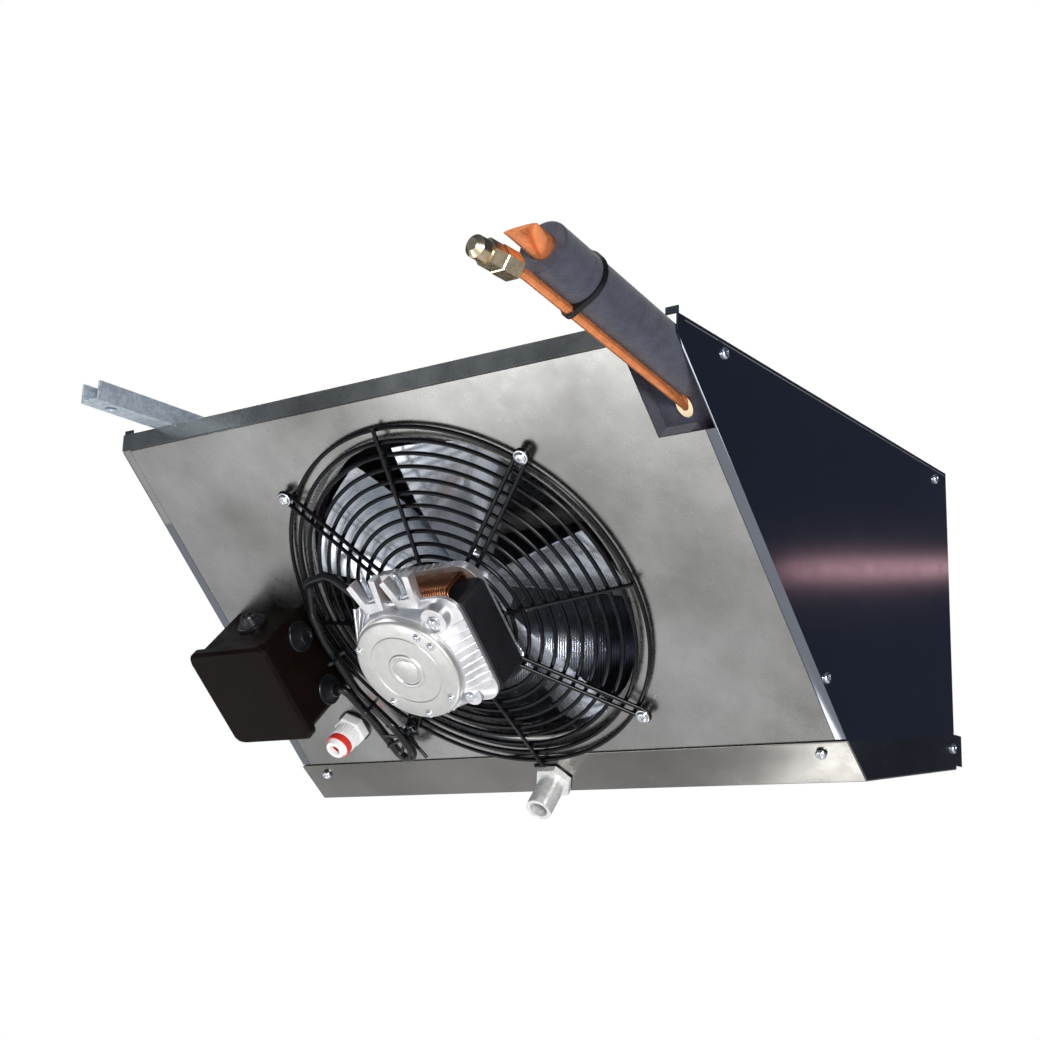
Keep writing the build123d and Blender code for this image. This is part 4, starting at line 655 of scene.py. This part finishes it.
HEM_FRONT, HEM_BACK = 8, 3     # how far the hem stops short of the side's ends
GLAND_X, GLAND_UP = -168.8, -105.3


def coil_fins():
    """Corrugated fins at the real pitch over the whole coil."""
    low, high = frame_box("coil_fins")
    count = int((high.x - low.x) / (FIN_PITCH * MM))
    bm = bmesh.new()
    for fin in range(count + 1):
        x = low.x + fin * (high.x - low.x) / count
        rows = []
        for step in range(FIN_WAVES + 1):
            y = low.y + (high.y - low.y) * step / FIN_WAVES
            bend = FIN_WAVE * MM * (1 if step % 2 else -1) if 0 < fin < count else 0
            rows.append([bm.verts.new((x + bend, y, z)) for z in (low.z, high.z)])
        for here, after in zip(rows, rows[1:]):
            bm.faces.new((here[0], after[0], after[1], here[1]))
    piece = finish_piece("coil_fins_fine", bm, "fin_aluminium", ("coil_fins",))
    skin = piece.modifiers.new("sheet", "SOLIDIFY")
    skin.thickness = FIN_SHEET * MM
    skin.offset = 0


def solids_of(node):
    """Lowest and highest corner of each loose solid in a CAD node, in metres. Their order isn't fixed."""
    bm = bmesh.new()
    bm.from_mesh(frame["nodes"][node].data)
    bmesh.ops.remove_doubles(bm, verts=bm.verts, dist=0.001 * MM)
    left = set(bm.verts)
    spans = []
    while left:
        seed = left.pop()
        island, front = [seed], [seed]
        while front:
            vertex = front.pop()
            for edge in vertex.link_edges:
                other = edge.other_vert(vertex)
                if other in left:
                    left.remove(other)
                    island.append(other)
                    front.append(other)
        low = Vector([min(v.co[axis] for v in island) for axis in range(3)])
        high = Vector([max(v.co[axis] for v in island) for axis in range(3)])
        spans.append((low, high))
    bm.free()
    return spans


def casing_screws():
    """Pan-head screws on the side panels and on the drip tray's sides and front."""
    for node in ("side_screws", "tray_screws"):
        bm = bmesh.new()
        for count, (low, high) in enumerate(solids_of(node)):
            middle = (low + high) / 2
            if high.x - low.x > SIDE_SCREW_SPAN * MM:
                side = math.copysign(1, middle.x)
                face = (high.x if side > 0 else low.x) - side * CASING_HEAD[1] * MM
                seat = Vector((face, middle.y, middle.z))
                axis = Vector((side, 0, 0))
            else:
                seat = middle + TRAY_OUT * FRONT_SCREW_SEAT * MM
                axis = TRAY_OUT
            pan_head(bm, frame_at(seat, axis, 0.6 + count), *CASING_HEAD)
        finish_piece(node + "_fine", bm, "zinc", (node,))


def box_fittings():
    """Stepped rubber grommets, and the plugs over the lid's screws."""
    grommets = bmesh.new()
    for entry in (
        frame_at(on_fan(-195, 11, GROMMET_HEIGHT), fan_up),
        frame_at(on_fan(-155, -55, GROMMET_HEIGHT), (1, 0, 0)),
        frame_at(on_fan(-155, -4, GROMMET_HEIGHT), (1, 0, 0)),
    ):
        revolved(grommets, entry, GROMMET, 48)
    finish_piece("box_grommets_fine", grommets, "black_rubber", ("box_grommets",))
    plugs = bmesh.new()
    for x in LID_SCREW_X:
        for up in LID_SCREW_UP:
            revolved(plugs, on_fan_frame(x, up, LID_FACE), LID_PLUG, 28)
    finish_piece("box_screw_caps", plugs, "zinc", ("box_screws",), "box_plastic")


def tie_tails():
    """Cut and uncut tails of the ties that gather the cable at the guard's lower foot."""
    runs = []
    for turn, length, lift in TIE_TAILS:
        angle = math.radians(turn)
        way = Vector((math.cos(angle), math.sin(angle)))
        points = [
            on_fan(TIE_X + way.x * reach, TIE_UP + way.y * reach, TIE_HEIGHT + rise)
            for reach, rise in ((TIE_START, 0), (length * 0.5, lift * 0.7), (length, lift))
        ]
        runs.append((points, False))
    ring = []
    for step in range(12):
        across, up = TIE_RING * math.cos(step * TIE_TURN), TIE_RING * math.sin(step * TIE_TURN)
        ring.append(on_fan(TIE_X + across, TIE_UP + up, TIE_HEIGHT + 1))
    runs.append((ring, True))
    wires("tie_tails", runs, TIE_RADIUS, "tie_plastic")


def left_edge():
    """Sheet that closes the left edge beside the fan panel, above the side panel's flange."""
    bm = bmesh.new()
    bmesh.ops.create_cube(bm, size=1)
    low, high = LEFT_EDGE
    for vertex in bm.verts:
        spot = Vector([low[axis] if vertex.co[axis] < 0 else high[axis] for axis in range(3)])
        vertex.co = FAN @ (spot * MM)
    bmesh.ops.bevel(bm, geom=bm.edges[:], offset=0.25 * MM, segments=2, affect="EDGES")
    finish_piece("left_edge_sheet", bm, "front_sheet")


def side_hems():
    """Folded edge of the top panel on each side panel, seen as a thin raised line."""
    for name, node, side in (("hem_left", "side_panel_left", -1), ("hem_right", "side_panel_right", 1)):
        low, high = frame_box(node)
        face = high.x if side > 0 else low.x
        level = high.z - HEM_DROP * MM
        line = [(face, low.y + HEM_FRONT * MM, level), (face, high.y - HEM_BACK * MM, level)]
        wires(name, [(line, False)], HEM_RADIUS, "front_sheet")


def gland():
    """Gland's hexagon and its ribbed dome."""
    def ribs(radius):
        return lambda angle: radius * (1 + 0.018 * math.cos(24 * angle))
    body = bmesh.new()
    revolved(body, on_fan_frame(GLAND_X, GLAND_UP), [
        (8, -14), (8, 2), (hexagon(24), 2), (hexagon(24.2), 3), (hexagon(24.2), 9.2), (11.2, 10),
        (ribs(10.8), 10.4), (ribs(10.8), 20.4), (10.4, 21.6), (9.6, 22), (4.5, 22),
    ], 144)
    finish_piece("cable_gland_fine", body, SLOT_OF["cable_gland"], ("cable_gland",))


# Width of the broken edges on the copies of the CAD nodes, in millimetres.
SOFTENED = {
    "top_panel": 0.4, "side_panel_left": 0.4, "side_panel_right": 0.4, "fan_panel": 0.4, "drip_tray": 0.4,
    "rail_left": 0.5, "rail_right": 0.5, "box_base": 0.8, "box_lid": 1.0, "motor_rear_shield": 0.9,
    "motor_stator": 0.4, "motor_front_shield": 0.8, "pipe_insulation": 1.2,
}
for node_name, edge_width in SOFTENED.items():
    softened(node_name, edge_width)
guard_wires()
guard_feet()
motor_ribs()
motor_cap()
motor_coils()
motor_fasteners()
coil_fins()
casing_screws()
box_fittings()
tie_tails()
left_edge()
side_hems()
gland()


# ---------------------------------------------------------------- stage
FLOOR_LEVEL = -0.95
FLOOR_RADIUS = 4.0
BACKDROP = (1, 1, 1, 1)
ROOM_FRONT = (0.15, 0.18, 0.21)    # what the metal mirrors on the camera's side
ROOM_BACK = (0.05, 0.06, 0.09)
LIGHTS = (      # name, place, aim, size, power, colour
    ("key", (-1.7, -0.9, 1.7), (0, -0.1, -0.1), (0.7, 0.7), 38, (1, 1, 1)),
    ("floor_card", (-0.42, -0.8, -0.93), (-0.42, -0.8, 0), (0.6, 0.5), 3.1, (1, 1, 1)),
    ("right_front", (1.9, -1.7, -0.35), (0.05, -0.2, -0.2), (0.8, 0.6), 52, (1, 1, 1)),
    ("side_strip", (1.06, 1.84, 0.33), (0.25, 0.08, -0.11), (0.34, 0.03), 0.075, (1.0, 0.55, 0.56)),
    ("low_glow", (-0.02, 0.08, -0.88), (-0.02, 0.08, 0), (0.16, 0.16), 0.5, (1, 1, 1)),
)
LENS = 56.76
SENSOR = 36
EYE = (0.73183, -0.99241, -0.36782)
EYE_RIGHT = Vector((0.8032, 0.5948, 0.0326))
EYE_DOWN = Vector((-0.1209, 0.2164, -0.9688))
EYE_FORWARD = Vector((-0.5833, 0.7742, 0.2457))


def floor():
    bm = bmesh.new()
    bmesh.ops.create_circle(bm, cap_ends=True, radius=FLOOR_RADIUS, segments=96)
    mesh = bpy.data.meshes.new("floor")
    bm.to_mesh(mesh)
    bm.free()
    plate = bpy.data.objects.new("floor", mesh)
    plate.location.z = FLOOR_LEVEL
    bpy.context.scene.collection.objects.link(plate)
    material, tree, shader = node_tree("floor")
    shader.inputs["Base Color"].default_value = (0.80, 0.80, 0.79, 1)
    shader.inputs["Roughness"].default_value = 0.7
    shader.inputs["Emission Color"].default_value = (1, 1, 1, 1)
    shader.inputs["Emission Strength"].default_value = 0.30
    mesh.materials.append(material)


def area_light(name, place, aim, size, power, colour):
    light = bpy.data.lights.new(name, "AREA")
    light.shape = "RECTANGLE"
    light.size, light.size_y = size
    light.energy = power
    light.color = colour
    lamp = bpy.data.objects.new(name, light)
    lamp.location = place
    lamp.rotation_euler = (Vector(aim) - Vector(place)).to_track_quat("-Z", "Y").to_euler()
    lamp.visible_camera = False
    bpy.context.scene.collection.objects.link(lamp)


def studio():
    """White backdrop; the room that the metal mirrors is dim, and darkest behind the cooler."""
    world = bpy.data.worlds.new("studio")
    world.use_nodes = True
    bpy.context.scene.world = world
    tree = world.node_tree
    background = tree.nodes["Background"]
    direction = tree.nodes.new("ShaderNodeTexCoord")
    parts = tree.nodes.new("ShaderNodeSeparateXYZ")
    tree.links.new(direction.outputs["Generated"], parts.inputs["Vector"])
    depth = span(tree, parts.outputs["Y"], 0, 1, (-0.9, 0.9))
    room = ramp(tree, depth, [(0.1, ROOM_FRONT), (0.75, ROOM_BACK)])
    seen = tree.nodes.new("ShaderNodeLightPath")
    mix = tree.nodes.new("ShaderNodeMix")
    mix.data_type = "RGBA"
    tree.links.new(seen.outputs["Is Camera Ray"], mix.inputs["Factor"])
    tree.links.new(room, mix.inputs["A"])
    mix.inputs["B"].default_value = BACKDROP
    tree.links.new(mix.outputs["Result"], background.inputs["Color"])
    background.inputs["Strength"].default_value = 1.0
    for row in LIGHTS:
        area_light(*row)


def camera():
    """Eye where the photo was taken from."""
    lens = bpy.data.cameras.new("camera")
    lens.lens = LENS
    lens.sensor_width = SENSOR
    eye = bpy.data.objects.new("camera", lens)
    turn = Matrix((EYE_RIGHT, -EYE_DOWN, -EYE_FORWARD)).transposed().to_4x4()
    eye.matrix_world = Matrix.Translation(EYE) @ turn
    bpy.context.scene.collection.objects.link(eye)
    bpy.context.scene.camera = eye


bpy.context.scene.view_settings.view_transform = "Standard"
floor()
studio()
camera()
